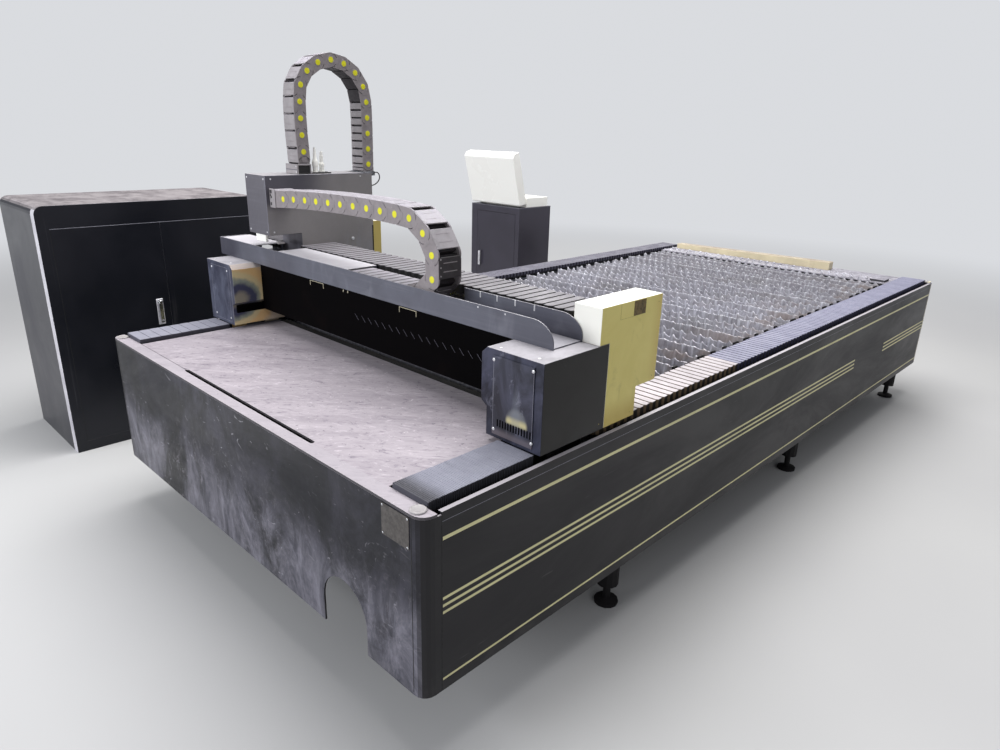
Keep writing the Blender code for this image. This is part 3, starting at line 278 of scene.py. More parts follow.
def cover_cloth(name, ridge, valley, top, patch=None, dark_end=None, lit_side=None):
    """Folding cover: pale leaves, with painted shade where they drop to the next one and on their
    sides.
    """
    m = Mat(name, 0.6, 0.0, 0.35)
    wear = m.noise(9, 7, 0.66, warp=0.4)
    m.tone = m.mix(m.ramp(wear, 0.3, 0.7, 0, 0.6), ridge, times(ridge, 0.8))
    m.over(m.noise(26, 6, 0.7, (1, 0.2, 1), (5, 5, 0)), 0.45, 0.3, 0.4, times(ridge, 0.55))
    if patch:
        m.over(m.noise(3.2, 5, 0.6, offset=(2, 6, 1)), 0.46, 0.66, 0.85, patch)
    if dark_end:
        m.lay(m.along("X", dark_end[1], dark_end[0], 0, 0.85), 0x3A393E)
    m.over(m.noise(150, 3, 0.6), 0.62, 0.75, 0.3, 0xC4C2CA)
    # Painted shade in the folds: each leaf darkens where it drops to the next one.
    m.lay(m.along("Z", top - 0.0008, top - 0.0022, 0, 0.95), valley)
    # Painted shade, near black, on faces that turn along y: the long sides of the way covers and
    # the steps of the beam covers. A lit side colour is a painted lit band along their top.
    side = 0x0E0D0F
    if lit_side:
        side = m.mix(m.along("Z", 0.852, 0.858), side, lit_side)
    m.over(m.math("ABSOLUTE", m.axis("Y", m.normal)), 0.6, 0.9, 0.92, side)
    return m.done(m.ramp(wear, 0.3, 0.7, 0.5, 0.75), m.noise(260, 3, 0.6), 0.2, 0.0008)


def sheet_steel(name, base, rough, metal, cloud, dust=None, ahead=None, shade=None):
    """Blue-grey sheet with soft clouds, fine brushing and handling marks. ahead is a painted shade,
    a darker tone on the faces towards the discharge end; shade says where painted shade darkens it."""
    m = Mat(name, rough, metal)
    clouds = m.noise(4.2, 6, 0.6, warp=0.5)
    brush = m.noise(60, 3, 0.5, (1.5, 0.05, 1.5))
    m.tone = base
    # Painted shade: the faces towards the discharge end take the darker ahead tone.
    if ahead:
        m.lay(m.look("X", -0.5, -0.85), ahead)
    m.over(clouds, 0.3, 0.72, cloud, 0x46464E)
    m.over(m.noise(9, 4, 0.55, (1, 1, 0.4), (6, 4, 3), 0.8), 0.54, 0.74, 0.3, 0x9698A4)
    m.over(brush, 0.5, 0.7, 0.07, 0xA0A0AA)
    # Painted shade where the given mask says.
    if shade:
        m.lay(shade(m), times(0x646274, 0.42))
    if dust:
        patches = m.ramp(m.noise(8.5, 7, 0.68, offset=(1, 9, 2)), 0.25, 0.6, 0.72, 0.97)
        m.lay(m.times(m.look("Z", 0.45, 0.9), patches), dust)
    return m.done(m.ramp(clouds, 0.3, 0.7, rough - 0.08, rough + 0.14), brush, 0.08, 0.0005)


def shield_shade(m):
    """Painted shade: darker at both ends of the long shield, and a little beside the chain's end.
    """
    ends = m.most(m.along("Y", 2.12, 2.26, 0, 0.75), m.along("Y", 0.5, 0.22, 0, 0.35))
    return m.most(ends, m.times(m.along("Y", 1.55, 1.68), m.along("Y", 1.92, 1.8, 0, 0.3)))


def carriage_shade(m):
    """Painted shade: the box's upper half is darker, most of all towards the discharge end."""
    upper = m.times(m.look("Y", -0.6, -0.9), m.along("Z", 1.44, 1.5))
    return m.times(upper, m.along("X", 1.02, 0.78, 0.15, 0.85))


def cream_cover():
    """Cream paint with olive smudges, browner towards the bottom and the inner edge; the khaki base
    is a painted yellow shade, with the near-white cream only on the top and the faces towards the
    discharge end.
    """
    m = Mat("cream_cover", 0.38)
    clouds = m.noise(3.5, 6, 0.6, warp=0.6)
    # Painted shade: the khaki base stands for the cream seen in shade.
    m.tone = m.blend(clouds, 0.3, 0.7, 0xCEC06A, 0xDACD7E)
    m.over(m.noise(48, 6, 0.75), 0.66, 0.76, 0.45, 0x968A54)
    m.over(m.noise(13, 6, 0.7, (1, 1, 0.4), (2, 7, 3), 1.0), 0.56, 0.76, 0.5, 0xA89E58)
    low = m.times(m.along("Z", 0.985, 0.9), m.ramp(clouds, 0.25, 0.6, 0.5, 0.9))
    m.lay(low, 0xB29A42)
    m.lay(m.times(m.along("X", 1.05, 1.12), 0.5), 0xC4A85C)
    # The real near-white cream, on the top and the faces towards the discharge end; the other faces
    # keep the painted khaki shade.
    m.lay(m.most(m.look("Z", 0.4, 0.9), m.look("X", -0.4, -0.9)), 0xFAF9F2)
    return m.done(m.ramp(clouds, 0.3, 0.7, 0.32, 0.5), m.noise(240, 2, 0.5), 0.06, 0.0005)


def heat_clouds(m, dark, light):
    """Cloudy blue-grey of heated sheet."""
    sheen = m.noise(10, 6, 0.64, (1, 1, 0.5), warp=1.1)
    spots = m.noise(24, 5, 0.7, (1, 1, 0.6), (4, 7, 2), 0.6)
    tone = m.blend(sheen, 0.34, 0.68, dark, light)
    return m.mix(m.ramp(spots, 0.58, 0.74, 0, 0.4), tone, 0x9698AA)


def flame_tinted():
    """The end box's vented panel: dark blue grey with clouds, a pale bloom above its slots, and a
    painted pinkish reflection along its bottom.
    """
    m = Mat("vented_panel", 0.36, 0.2)
    m.tone = heat_clouds(m, 0x1C1D28, 0x424455)
    around = m.math("ADD", m.away("Y", 0.118, 0.046), m.away("Z", 0.958, 0.052))
    above = m.along("Z", 0.946, 0.96)
    m.lay(m.times(m.ramp(around, 1.25, 0.5, 0, 0.6), above), 0x82868A)
    low = m.times(above, m.along("Z", 0.984, 0.962, 0, 0.9))
    m.lay(m.times(m.ramp(around, 1.2, 0.6), low), 0xCCC292)
    plume = m.math("ADD", m.away("Y", 0.122, 0.022), m.away("Z", 0.958, 0.13))
    m.lay(m.times(m.ramp(plume, 1.2, 0.1, 0, 0.3), above), 0x808692)
    # Painted reflection: a pinkish grey band along the panel's bottom.
    m.lay(m.along("Z", 0.925, 0.905, 0, 0.45), 0x80767C)
    return m.done(m.ramp(m.noise(9, 5, 0.6), 0.3, 0.7, 0.3, 0.48))


def end_box_steel(name, face, shade, front, tint=None):
    """Dark end box, dusty on top and bare steel towards the discharge end. tint is the place, in
    x and z, that rings of heat colour on its inward side spread from."""
    m = Mat(name, 0.36, 0.15, 0.35)
    clouds = m.noise(6.0, 6, 0.62, warp=0.9)
    m.tone = m.blend(clouds, 0.32, 0.7, shade, face)
    m.lay(m.look("X", -0.5, -0.85), heat_clouds(m, *front))
    if tint:
        far = m.math("POWER", m.math("ADD", m.away("X", tint[0]), m.away("Z", tint[1])), 0.5)
        stir = m.times(m.math("SUBTRACT", m.noise(12, 4, 0.6), 0.5), 0.055)
        far = m.math("ADD", far, stir)
        warm = 0x969082
        for low, high, ring in (
                (0.03, 0.062, 0x4A4C64), (0.078, 0.1, 0x969C90),
                (0.1, 0.118, 0xDECC9E), (0.124, 0.15, 0xE8C28A),
                (0.17, 0.21, 0xD6C4AE)):
            warm = m.blend(far, low, high, warm, ring)
        m.lay(m.look("Y", -0.4, -0.85), warm)
    m.over(m.noise(30, 6, 0.7, offset=(4, 4, 4)), 0.66, 0.76, 0.2, 0x82828A)
    dusty = m.times(m.look("Z", 0.4, 0.9), m.ramp(m.noise(12, 7, 0.7), 0.2, 0.65, 0.6, 0.97))
    m.lay(dusty, 0xB4B1B8)
    gloss = m.math("ADD", m.ramp(clouds, 0.3, 0.7, 0.28, 0.45), m.times(dusty, 0.3), True)
    return m.done(gloss, m.noise(180, 3, 0.6), 0.08, 0.0006)


def cabinet_paint():
    """Blue-black enamel, dusty on top, its left side pale along the front edge."""
    m = Mat("cabinet_black", 0.34, 0.0, 0.35)
    large = m.noise(2.2, 6, 0.62, warp=0.4)
    m.tone = m.blend(large, 0.3, 0.7, 0x12141B, 0x191A22)
    lines = m.noise(16, 3, 0.5, (1, 1, 0.06), (7, 2, 0), 0.3)
    m.over(lines, 0.68, 0.75, 0.1, 0x969498)
    pale = m.blend(m.noise(5, 6, 0.7), 0.3, 0.7, 0xA8A6B0, 0xCECCD4)
    side = m.blend(large, 0.3, 0.7, 0x22232A, 0x303038)
    side = m.mix(m.along("Y", 3.122, 3.116), side, pale)
    seam = m.times(m.along("Y", 3.112, 3.117), m.along("Y", 3.128, 3.123))
    m.lay(m.look("X", -0.6, -0.9), m.mix(seam, side, 0x101012))
    drift = m.noise(9, 9, 0.74, (1, 0.6, 1), (1, 9, 2), 0.15)
    top = m.look("Z", 0.45, 0.9)
    m.lay(top, m.blend(drift, 0.34, 0.64, 0x686266, 0x969093))
    return m.done(m.math("ADD", m.ramp(large, 0.25, 0.75, 0.27, 0.42), m.times(top, 0.35), True))


def chain_plastic(name, base, edge):
    """Grey plastic of the chain links: dirt, scuffs, and dust on what faces up."""
    m = Mat(name, 0.5, 0.0, 0.45)
    dirt = m.noise(26, 7, 0.7, warp=0.5)
    m.tone = m.blend(dirt, 0.3, 0.7, times(base, 0.8), base)
    m.over(m.noise(90, 4, 0.7), 0.6, 0.75, 0.35, edge)
    top = m.times(m.look("Z", 0.3, 0.9), m.ramp(dirt, 0.25, 0.6, 0.3, 0.75))
    m.lay(top, 0xACA8B4)
    return m.done(m.ramp(dirt, 0.3, 0.7, 0.42, 0.62), m.noise(300, 2, 0.5), 0.1, 0.0005)


def plain_detail(name, base, rough, metal=0.0, spread=0.12, scale=30):
    """Small fittings: slight change of tone and gloss."""
    m = Mat(name, rough, metal)
    grain = m.ramp(m.noise(scale, 5, 0.65), 0.3, 0.7)
    m.tone = m.mix(grain, times(base, 1 - spread), times(base, 1 + spread))
    gloss = m.noise(scale * 2.1, 4, 0.6)
    return m.done(m.ramp(gloss, 0.3, 0.7, rough * 0.85, min(rough * 1.2, 1)))


SKIRT = skirt_paint()
PLATE = dusty_plate()
SLAG = slag_steel("slag_steel", 0xA4A2AE, 0xCCCBD7, 0xD6D5E0)
SLAG_RIB = slag_steel("slag_ribs", 0xC0BFCD, 0xE4E4F0, 0xECECF4)
CREAM = cream_cover()
VENT = flame_tinted()
SHIELD = sheet_steel("shield_steel", 0x626470, 0.4, 0.2, 0.4, 0xAAA8B0, shade=shield_shade)
COVER_PLATE = sheet_steel("cover_plate", 0xA4A3AC, 0.5, 0.2, 0.3, 0xCCC9D0)
# The carriage's darker tone on its faces towards the discharge end is a painted shade.
CARRIAGE = sheet_steel("carriage_steel", 0x928E8E, 0.38, 0.2, 0.2, 0xBEBBC0,
                       0x68666E, carriage_shade)
BOX_NEAR = end_box_steel("end_box_dark", 0x161413, 0x0F0E0D, (0x181A26, 0x424457))
BOX_FAR = end_box_steel("end_box_bare", 0x60626C, 0x464A56, (0x3A3C4D, 0x5C6072), (0.516, 1.012))
BLACK = coated("frame_black", 0x141315, 0.6, 0.25, 0x222022, grime=0x221C1A, spec=0.2)
# Painted shade: black pushed almost to pure black with little specular, for the deep shade on the
# beam's face; the same black darkens slots and lines the long slot.
BLACK_AND_PAINTED_SHADE = coated("black_and_painted_shade", 0x040304, 0.7, 0.3, 0x3C393C, grime=0x0E0808, spec=0.03)
CABINET = cabinet_paint()
CONSOLE = coated("console_black", 0x383541, 0.4, 0.1, 0x6E6E74, 0.5)
WHITE = coated("white_paint", 0xFFFEFA, 0.3, 0.004)
STRIP = coated("end_strip_cream", 0xD8CCAC, 0.45, 0.1, 0x8E8076, 1.0, 0xB09E8C)
IVORY = coated("ivory_paint", 0xDED6BA, 0.42, 0.06, grime=0xB2A686)
CAP = coated("cap_plastic", 0xA8A4A6, 0.45, 0.05, grime=0x969188, grain=0.15)
STEEL = sheet_steel("guide_steel", 0x96989E, 0.28, 0.85, 0.3)
CHAIN_SIDE = chain_plastic("chain_side", 0x928B8E, 0xB8B2B4)
CHAIN_BAR = chain_plastic("chain_bar", 0xA09B9E, 0xBCB8BC)
CHAIN_DARK = plain_detail("chain_dark", 0x302C30, 0.6)
YELLOW = plain_detail("disc_yellow", 0xE2DE24, 0.4, spread=0.06)
RUBBER = plain_detail("black_rubber", 0x1E1D1F, 0.55)
SCREW = plain_detail("screw_zinc", 0xD8D8DC, 0.34, 0.4)
STRIPE = coated("stripe_film", 0xD4CE9E, 0.45, 0.05, grime=0xB4AE80)
SEAM = plain_detail("seam_dark", 0x121214, 0.7)
# Painted highlight on lit edges, folds and seams; on the vented panel's edges it is also wear.
EDGE_HIGHLIGHT_AND_WEAR = plain_detail("painted_edge_highlight_and_wear", 0x888894, 0.45)
EDGE = plain_detail("edge_grey", 0x5C5B66, 0.45)
BRASS = plain_detail("brass", 0xBE9E54, 0.28, 0.95)
CHROME = plain_detail("chrome", 0xCECFD4, 0.16, 1.0, 0.05)
GLASS = plain_detail("screen_glass", 0x101216, 0.12)
RED = plain_detail("red_plastic", 0xBA1816, 0.3)
NICKEL = plain_detail("bare_plate", 0x524E4C, 0.4, 0.4, 0.3, 60)
SILVER = plain_detail("silver_grip", 0xD6D5DC, 0.3, 0.3)
RUST_PATCH = plain_detail("label_place", 0x62522E, 0.6, 0.0, 0.5, 70)
CREAM_LINE = plain_detail("scored_line", 0x9E9454, 0.6)


# Shapes


class Shape:
    """Collects the faces of one piece. turn moves what is added next."""

    def __init__(self):
        self.verts, self.faces, self.mats = [], [], []
        self.turn = Matrix.Identity(4)

    def add(self, verts, faces, mat=0):
        base = len(self.verts)
        self.verts.extend(self.turn @ Vector(v) for v in verts)
        self.faces.extend(tuple(base + i for i in f) for f in faces)
        self.mats.extend([mat] * len(faces))

    def box(self, x, y, z, mat=0, edge=0.0):
        """A block between the ends given, with its edges cut back by edge."""
        ends = [(min(v), max(v)) for v in (x, y, z)]
        edge = min([edge] + [(high - low) * 0.3 for low, high in ends])
        corners = list(product((0, 1), repeat=3))
        if edge <= 0:
            self.add([tuple(ends[k][c[k]] for k in range(3)) for c in corners],
                     [(0, 1, 3, 2), (4, 6, 7, 5), (0, 4, 5, 1), (2, 3, 7, 6), (0, 2, 6, 4),
                      (1, 5, 7, 3)], mat)
            return
        # Each corner has three points, one on the face across each axis.
        points = [tuple(ends[k][c[k]] + (0 if k == axis else edge * (1 - 2 * c[k]))
                        for k in range(3)) for c in corners for axis in range(3)]
        step = (12, 6, 3)
        faces = []
        for axis in range(3):
            u, v = [k for k in range(3) if k != axis]
            for side in (0, 1):
                faces.append(tuple(step[axis] * side + step[u] * a + step[v] * b + axis
                                   for a, b in ((0, 0), (1, 0), (1, 1), (0, 1))))
            for a, b in product((0, 1), repeat=2):
                low = step[u] * a + step[v] * b
                high = low + step[axis]
                faces.append((low + u, high + u, high + v, low + v))
        faces += [(i, i + 1, i + 2) for i in range(0, len(points), 3)]
        self.add(points, faces, mat)

    def boxes(self, *rows):
        """Several blocks, each row as box takes it."""
        for row in rows:
            self.box(*row)

    def loft(self, rings, mat=0):
        """A skin over rings of points, closed at both ends."""
        count = len(rings[0])
        faces = []
        for r in range(0, (len(rings) - 1) * count, count):
            for i in range(count):
                k = (i + 1) % count
                faces.append((r + i, r + k, r + count + k, r + count + i))
        last = (len(rings) - 1) * count
        faces += [tuple(range(count)), tuple(range(last, last + count))]
        self.add([p for ring in rings for p in ring], faces, mat)

    def turned(self, centre, axis, profile, sides, mat=0):
        """A round piece: profile holds (distance along the axis, radius)."""
        way = Vector(axis).normalized()
        side = way.orthogonal().normalized()
        other = way.cross(side)
        angles = [2 * math.pi * i / sides for i in range(sides)]
        self.loft([[Vector(centre) + way * along
                    + (side * math.cos(a) + other * math.sin(a)) * radius for a in angles]
                   for along, radius in profile], mat)

    def prism(self, plane, outline, ends, mat=0):
        """An outline in one plane, drawn out between two places on the third axis."""
        place = {"XZ": lambda u, v, w: (u, w, v), "YZ": lambda u, v, w: (w, u, v)}[plane]
        self.loft([[place(u, v, w) for u, v in outline] for w in ends], mat)

    def screw(self, at, axis, radius, mat=0):
        """A low domed head, sunk a little into its sheet."""
        h = radius * 0.45
        self.turned(at, axis, [(-0.0015, radius), (h * 0.5, radius), (h, radius * 0.62)], 12, mat)


def trim(name, mats, body, slot, *rows):
    """A piece made of blocks only, each row as box takes it."""
    shape = Shape()
    shape.boxes(*rows)
    make(name, shape, mats, body)


def make(name, shape, mats, body, stands_for=(), angle=35):
    """Turns a shape into a piece that rides on its body, and on nothing where body is None."""
    mesh = bpy.data.meshes.new(name)
    mesh.from_pydata([tuple(v + SHIFT) for v in shape.verts], [], shape.faces)
    for mat in mats:
        mesh.materials.append(mat)
    mesh.polygons.foreach_set("material_index", shape.mats)
    bm = bmesh.new()
    bm.from_mesh(mesh)
    bmesh.ops.recalc_face_normals(bm, faces=bm.faces)
    bm.to_mesh(mesh)
    bm.free()
    mesh.shade_smooth()
    mesh.set_sharp_from_angle(angle=math.radians(angle))
    piece = bpy.data.objects.new(name, mesh)
    bpy.context.scene.collection.objects.link(piece)
    if stands_for:
        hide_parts(*stands_for)
    if body:
        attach(piece, body)
    return piece


def paint(mat, names, edge=0.0):
    """Gives CAD nodes their finish, and rounds their edges where edge is given."""
    for name in names.split():
        node = NODES[name]
        if not node.material_slots:
            node.data.materials.append(mat)
        for place in node.material_slots:
            place.link = "OBJECT"
            place.material = mat
        if edge:
            node.modifiers.new("weld", "WELD").merge_threshold = 0.00005
            bevel = node.modifiers.new("edges", "BEVEL")
            bevel.width, bevel.segments = edge, 2
            bevel.limit_method, bevel.angle_limit = "ANGLE", math.radians(40)
            node.modifiers.new("shading", "WEIGHTED_NORMAL")


def finish_nodes():
    """The finish of every CAD node that stays."""
    paint(BLACK, "frame scrap_tray foot_near_1 foot_near_2 foot_near_3")
    paint(BLACK, "foot_far_1 foot_far_2 foot_far_3")
    paint(STEEL, "guide_near guide_far beam_guide head_slide")
    paint(SKIRT, "panel_near_a panel_near_b panel_far_a panel_far_b")
    paint(SKIRT, "end_cover_front end_cover_rear")
    paint(PLATE, "discharge_plate rear_plate")
    paint(STRIP, "end_strip", 0.002)
    paint(CONSOLE, "console_housing console_door", 0.003)
    paint(RUBBER, "console_computer chain_bracket hose_loop")
    paint(WHITE, "laser_source")
    paint(WHITE, "console_desk console_lid", 0.004)
    paint(CABINET, "cabinet_housing cabinet_door_left cabinet_door_right")
    paint(COVER_PLATE, "mounting_plate")
    # The beam's near-black is partly its black paint, partly painted deep shade.
    paint(BLACK_AND_PAINTED_SHADE, "beam")
    paint(CREAM, "beam_end_cover head_cover", 0.0025)
    paint(BOX_NEAR, "end_box_near", 0.002)
    paint(BOX_FAR, "end_box_far", 0.002)
    paint(VENT, "vent_panel")
    paint(CARRIAGE, "carriage_box", 0.002)
    paint(BRASS, "cutting_head")
    paint(GLASS, "screen")
    paint(RED, "emergency_stop")
    paint(CHROME, "cabinet_handle")


# Grate

SLATS, SECTIONS = 32, 4
FIRST_SLAT, LAST_SLAT = 0.84, 4.42
SLAT_STEP = (LAST_SLAT - FIRST_SLAT) / (SLATS - 1)
TEETH, PER_TOOTH = 33, 9
LEVELS = (0.0, 0.4, 0.68, 0.84, 0.94, 1.0)
CRUSTED = {1, 4, 7, 10, 13, 16, 19, 23, 27, 30}


def slat(shape, rng, i, x, low, lift):
    """One slat of the pit, or a row of slag on the rear plate, from low up to its teeth."""
    y0, y1 = 0.24, BED_W - 0.234
    shift = (-0.32 * i + rng.uniform(-0.08, 0.08)) % 1.0
    valley = (0.861 if i in CRUSTED else rng.uniform(0.847, 0.855)) + lift
    tip = 0.8675 + lift
    heights = [tip - rng.choice((0, 0.001, 0.003, 0.006, 0.012)) * rng.random()
               for _ in range(TEETH + 3)]
    bright = [rng.random() < 0.8 for _ in range(TEETH + 3)]
    wave = [rng.uniform(0, 6.28) for _ in range(6)]
    rings, ribs = [], []
    columns = TEETH * PER_TOOTH + 1
    for c in range(columns):
        y = y0 + (y1 - y0) * c / (columns - 1)
        s = c / PER_TOOTH + shift
        k = math.floor(s)
        off = abs(2 * (s - k) - 1)
        rise = (1 - off) ** 2.6
        top = valley + (heights[k] - valley) * rise
        top += 0.0022 * math.sin(38 * y + wave[0]) * (1 - rise) + rng.uniform(-0.0018, 0.0018)
        top = min(top, tip)
        ribs.append(off < 0.24 and bright[k])
        rib = max(0.0, 1 - (off / 0.36) ** 2)
        sides = []
        for side in (1, -1):
            column = []
            for level in LEVELS:
                z = low + (top - low) * level
                crust = 0.0026 + 0.0046 * rib * (0.5 + 0.5 * level)
                crust += 0.0012 * math.sin(y * 340 + wave[1 + (side > 0)] + z * 60)
                crust += rng.uniform(0, 0.0022) * level
                crust *= 1 - 0.5 * level ** 6
                bow = 0.004 * math.sin(5.3 * y + wave[4]) * level
                column.append((x + bow + side * max(crust, 0.0015), y, z))
            sides.append(column)
        rings.append(sides[0] + sides[1][::-1])
    shape.loft(rings)
    size = 2 * len(LEVELS)
    start = len(shape.mats) - 2 - (columns - 1) * size
    for c in range(columns - 1):
        for k in range(size):
            on_top = k == len(LEVELS) - 1
            if ribs[c] or (on_top and (i in CRUSTED or rng.random() < 0.5)):
                shape.mats[start + c * size + k] = 2


def grate():
    """Toothed slats under a crust of slag, one piece a section. The teeth of neighbouring slats
    stand almost in line, so they read as ribs; some slats are crusted over along their top."""
    rng = random.Random(7)
    share = SLATS // SECTIONS
    for section in range(SECTIONS):
        shape = Shape()
        own = range(section * share, (section + 1) * share)
        slats = [(i, FIRST_SLAT + i * SLAT_STEP, 0.7205, 0.0) for i in own]
        if section == SECTIONS - 1:
            slats.append((SLATS, 4.476, 0.7205, 0.0))
            slats += [(SLATS + 1 + k, 4.52 + 0.058 * k, 0.8605, 0.006 + 0.002 * k)
                      for k in range(3)]
        for i, x, low, lift in slats:
            slat(shape, rng, i, x, low, lift)
            if low < 0.8:
                half = rng.uniform(0.01, 0.026)
                if rng.random() < 0.75:
                    shape.box((x - half, x + half * 1.2), (0.226, 0.2395), (0.852, 0.8655), 1,
                              0.002)
        x0 = 0.8005 if section == 0 else FIRST_SLAT + (section * share - 0.5) * SLAT_STEP + 0.0005
        x1 = FIRST_SLAT + ((section + 1) * share - 0.5) * SLAT_STEP
        if section == SECTIONS - 1:
            x1 = 4.5095
        for y in (0.262, BED_W - 0.274):
            shape.box((x0, x1), (y, y + 0.012), (0.71, 0.79), 1, 0.001)
        name = "slat_section_%d" % (section + 1)
        make("grate_%d" % (section + 1), shape, [SLAG, BLACK, SLAG_RIB], "bed",
             [name], 60)


# Folding covers


def leaf_cover(name, axis, start, end, leaves, across, z, mats, node, tooth, wide, gap, drop,
               slant=0.35):
    """A folding cover: flat leaves that drop sharply to the next one, with toothed edges. wide is
    where a first run of broader leaves ends, and their number."""
    shape = Shape()
    runs = [(start, end, leaves)]
    if wide:
        runs = [(start, *wide), (wide[0], end, leaves)]
    spans = [(a + (b - a) * i / n, a + (b - a) * (i + 1) / n) for a, b, n in runs for i in range(n)]
    rng = random.Random(len(spans))
    rings = []
    for a, b in spans:
        sag, edge = rng.uniform(0, 0.0005), rng.uniform(0, 0.0015)
        for share, low, draw in ((0, drop, tooth), (gap * 0.7, drop, tooth),
                                 (gap, 0, tooth * 0.8), (slant, 0, 0), (0.985, 0, tooth * 0.25)):
            s = a + (b - a) * share
            top = z[1] - low - sag
            lo, hi = across[0] + draw + edge, across[1] - draw - edge
            flat = [(lo, z[0]), (hi, z[0]), (hi, top - 0.001), (hi - 0.001, top), (lo + 0.001, top),
                    (lo, top - 0.001)]
            rings.append([(s, c, h) if axis == "X" else (c, s, h) for c, h in flat])
    k = "XY".index(axis)
    rings.append([tuple(end if i == k else v for i, v in enumerate(p)) for p in rings[0]])
    shape.loft(rings)
    return make(name, shape, mats, None, [node], angle=25)


def way_covers():
    """Near and far covers over the long guides, and the two on the beam."""
    z = (0.8425, 0.8778)
    lilac = cover_cloth("cover_lilac", 0x9293A2, 0x42424C, z[1], dark_end=(0.07, 0.15))
    fine = cover_cloth("cover_fine", 0x8A8AA0, 0x32324C, z[1])
    broad = cover_cloth("cover_broad", 0xBCB5BA, 0x705E46, z[1], 0xCEC7CC)
    grey = cover_cloth("cover_grey", 0x9696A4, 0x3E3E4A, z[1], lit_side=0x42404A)
    dark = cover_cloth("cover_dark", 0x6A6876, 0x282632, z[1], lit_side=0x4E4D5E)
    front, rear, broad_end = (0.0555, 0.4895), (0.8185, 4.7945), 1.868
    for side, near in (("near", True), ("far", False)):
        across = (0.0402, 0.1998) if near else (BED_W - 0.1998, BED_W - 0.0402)
        a = leaf_cover("cover_%s_front" % side, "X", *front, 62 if near else 9, across, z,
                       [lilac if near else grey], "bellows_%s_front" % side, 0.002,
                       None, 0.2 if near else 0.06, 0.0022)
        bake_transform(a)
        b = leaf_cover("cover_%s_rear" % side, "X", *rear, 86, across, z, [fine if near else dark],
                       "bellows_%s_rear" % side, 0.011, (broad_end, 25), 0.2, 0.0062)
        if near:
            b.data.materials.append(broad)
            for poly in b.data.polygons:
                if poly.center.x < broad_end + SHIFT.x:
                    poly.material_index = 1
        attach(b, "bed")
        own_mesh(b)
    z, across = (1.2405, 1.2778), (0.7705, 0.9715)
    pale = cover_cloth("cover_beam", 0x807D83, 0x0A090B, z[1])
    # Painted shadow: the far beam cover is a darker copy of the near one, for the carriage's shadow
    # it lies in.
    shadow_painted_cover = cover_cloth("cover_beam_far_painted_shadow", 0x605D63, 0x0C0B0D, z[1])
    near = leaf_cover("beam_cover_near", "Y", 0.1365, CARRIAGE_NEAR, 38, across, z, [pale],
                      "beam_bellows_near", 0.014, None, 0.19, 0.0085, 0.5)
    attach(near, "gantry")
    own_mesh(near)
    far = leaf_cover("beam_cover_far", "Y", 2.041, 2.2845, 6, across, z, [shadow_painted_cover],
                     "beam_bellows_far", 0.006, None, 0.09, 0.0065)
    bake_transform(far)


# Cable chains


def arc(centre, radius, start, end, steps):
    """Points on an arc, angles in degrees."""
    angles = [math.radians(start + (end - start) * i / steps) for i in range(steps + 1)]
    return [(centre[0] + radius * math.cos(a), centre[1] + radius * math.sin(a)) for a in angles]


def chain_link(shape, start, end, plane, across, half, out_sign, shade_painted_lid=False, bars=1,
               dark_bars=False, disc=True, lid=(0.0, 0.0)):
    """One link between two pins: side plates, pin boss and disc, lid outside and bars inside.
    lid is how far along the link the lid's ends are shifted."""
    run = Vector((end[0] - start[0], end[1] - start[1]))
    length = run.length
    run.normalize()
    out = Vector((run.y, -run.x)) * out_sign

    def place(u, v, last=0):
        return (0, u, v, last) if plane == "YZ" else (u, 0, v, last)

    width = (1, 0, 0, 0) if plane == "YZ" else (0, 1, 0, 0)
    shape.turn = Matrix((place(*run), width, place(*out), place(*start, 1))).transposed()
    r = half * 0.95
    plate = arc((0, 0), r + 0.0026, 68, -68, 10) + arc((length, 0), r, -90, 90, 12)
    tongue = arc((0, 0), r * 0.97, 0, 360, 20)[:-1]
    for face, inward in ((across[0], 1), (across[1], -1)):
        shape.prism("XZ", plate, (face + inward * 0.0012, face + inward * 0.0052))
        shape.prism("XZ", [(s * 0.9 + length * 0.5, h * 0.42) for s, h in
                           ((-0.022, -half), (0.004, -half), (0.004, half), (-0.022, half))],
                    (face + inward * 0.0006, face + inward * 0.002))
        shape.prism("XZ", tongue, (face + inward * 0.005, face + inward * 0.0085))
        if disc:
            for depth, profile, sides, mat in (
                    (0.0012, [(0.0, 0.0185), (0.0005, 0.0175), (0.0005, 0.015)], 20, 0),
                    (0.001, [(0.0, 0.0132), (0.0009, 0.0132), (0.0012, 0.0105)], 20, 3),
                    (0.0004, [(0.0, 0.0062), (0.0004, 0.0058)], 12, 2)):
                shape.turned((0, face + inward * depth, 0), (0, -inward, 0), profile, sides, mat)
    lo, hi = across[0] + 0.0035, across[1] - 0.0035
    # Dark lids are painted shade on links that hang in shadow.
    shape.box((length * (0.05 + lid[0]), length * (0.95 + lid[1])), (lo, hi),
              (half - 0.0065, half - 0.0005), 2 if shade_painted_lid else 1, 0.0016)
    for s0, s1 in ((0.27, 0.31), (0.63, 0.67)):
        shape.box((length * s0, length * s1), (lo + 0.02, hi - 0.02), (half - 0.002, half - 0.0001))
    for s0 in (0.14, 0.47, 0.82):
        shape.box((length * s0 - 0.003, length * s0 + 0.003), (lo + 0.005, lo + 0.011),
                  (half - 0.002, half), 1, 0.001)
    shape.box((0, length), (lo + 0.006, hi - 0.006), (-half * 0.55, half * 0.55), 2)
    for i in range(bars):
        shape.box((length * ((i + 0.12) / bars), length * ((i + 0.88) / bars)), (lo, hi),
                  (-half + 0.0005, -half + 0.006), 2 if dark_bars else 1, 0.0014)
    shape.turn = Matrix.Identity(4)


CHAIN = [CHAIN_SIDE, CHAIN_BAR, CHAIN_DARK, YELLOW]


